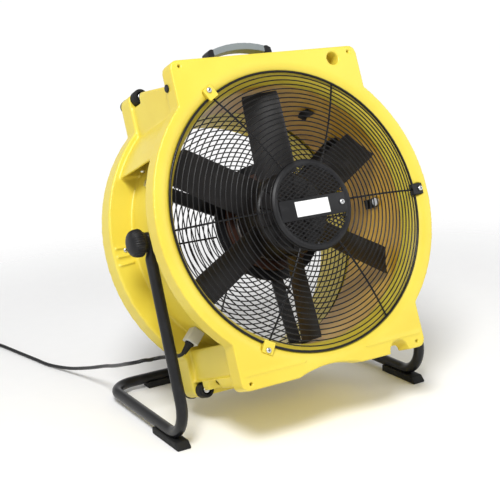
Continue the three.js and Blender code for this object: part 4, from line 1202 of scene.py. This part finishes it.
# %% Knobs
KNOB_IN = 258.3
KNOB_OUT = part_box("tilt_knob_right")[1].x / MM
KNOB_R, KNOB_BORE, BORE_L = 24, 4.3, 18
KNOB = rounded(
    [(KNOB_BORE, KNOB_IN), (17, KNOB_IN), (18, KNOB_IN + 4), (KNOB_R, KNOB_IN + 8),
     (KNOB_R, KNOB_OUT - 13), (20.5, KNOB_OUT - 5), (11, KNOB_OUT - 0.4), (0, KNOB_OUT),
     (0, KNOB_IN + BORE_L), (KNOB_BORE, KNOB_IN + BORE_L)],
    [0, 0.8, 2, 2.5, 5, 5, 5, 0, 0, 0])
KNOB_SIDES = 288
GROOVES, GROOVE_DEPTH = 36, 0.9
GROOVES_FROM, GROOVES_FULL = 17.5, 20.5


def knob(side):
    rows = len(KNOB)
    vertices = []
    for j in range(KNOB_SIDES):
        turn = 2 * math.pi * j / KNOB_SIDES
        wave = 0.5 - 0.5 * math.cos(GROOVES * turn)
        for r, x in KNOB:
            share = min(max((r - GROOVES_FROM) / (GROOVES_FULL - GROOVES_FROM), 0), 1)
            reach = r - GROOVE_DEPTH * wave ** 0.5 * share
            vertices.append(PIVOT_POINT @ Vector((
                side * x * MM, reach * math.cos(turn) * MM, reach * math.sin(turn) * MM)))
    return vertices, grid_faces(KNOB_SIDES, rows, True)


for side, name in ((-1, "left"), (1, "right")):
    piece(f"knob_{name}", knob(side), BLACK_PLASTIC, f"knob_{name}",
          (f"tilt_knob_{name}",), sharp=math.radians(70))

# %% The gland's block
gland_block = softened("gland_block", node_shape("cord_gland"), FINE, SOFT_PASSES)
dressed(gland_block, PALE_GREY, "housing", ("cord_gland",))

# %% [markdown]
# ## Floor and light
# A pale floor fades out around the object into a sky that is white at the horizon. Overhead the sky is
# greyer, so that the shadow stays. One soft light stands above on the left, and a weaker one on the
# right.

# %% Floor
FLOOR_HALF, FLOOR_Z = 2.6, -0.0002
FADE_FROM, FADE_TO = 0.75, 1.75


def floor_finish():
    s = Shader("floor")
    speck = s.noise(30.0, 4.0)
    from_middle = s.node("ShaderNodeVectorMath", {"operation": "LENGTH"}, {0: s.place()}, "Value")
    return s.finish(
        Base_Color=s.blend(speck, (0.93, 0.93, 0.93), (0.95, 0.95, 0.95)),
        Roughness=0.7 + speck * 0.05,
        Alpha=1 - s.step(from_middle, FADE_FROM, FADE_TO),
    )


floor_corners = [Vector((x * FLOOR_HALF, y * FLOOR_HALF, FLOOR_Z))
                 for x, y in ((-1, -1), (1, -1), (1, 1), (-1, 1))]
floor = as_object("floor", (floor_corners, [(0, 1, 2, 3)]))
floor.data.materials.append(floor_finish())
print("floor", 2 * FLOOR_HALF, "m wide")

# %% Light
LIT = Vector((0, 0, 0.3))


def softbox(name, place, size, power):
    light = bpy.data.lights.new(name, "AREA")
    light.shape = "DISK"
    light.size = size
    light.energy = power
    lamp = bpy.data.objects.new(name, light)
    lamp.location = place
    lamp.rotation_euler = (LIT - Vector(place)).to_track_quat("-Z", "Y").to_euler()
    bpy.context.scene.collection.objects.link(lamp)


softbox("key", (-1.3, -1.6, 2.7), 1.1, 92.0)
softbox("fill", (1.9, -1.5, 1.5), 1.6, 12.0)

# %% Sky
SKY_FADE = {"From Min": 0.10, "From Max": 0.55, "To Min": 1.02, "To Max": 0.42}
sky = bpy.data.worlds.new("sky")
sky.use_nodes = True
sky_tree = sky.node_tree
direction = sky_tree.nodes.new("ShaderNodeTexCoord")
upward = sky_tree.nodes.new("ShaderNodeSeparateXYZ")
fade = sky_tree.nodes.new("ShaderNodeMapRange")
for socket, value in SKY_FADE.items():
    fade.inputs[socket].default_value = value
sky_tree.links.new(direction.outputs["Generated"], upward.inputs["Vector"])
sky_tree.links.new(upward.outputs["Z"], fade.inputs["Value"])
sky_tree.links.new(fade.outputs["Result"], sky_tree.nodes["Background"].inputs["Color"])
bpy.context.scene.world = sky
bpy.context.scene.view_settings.view_transform = "Standard"
print("sky", SKY_FADE)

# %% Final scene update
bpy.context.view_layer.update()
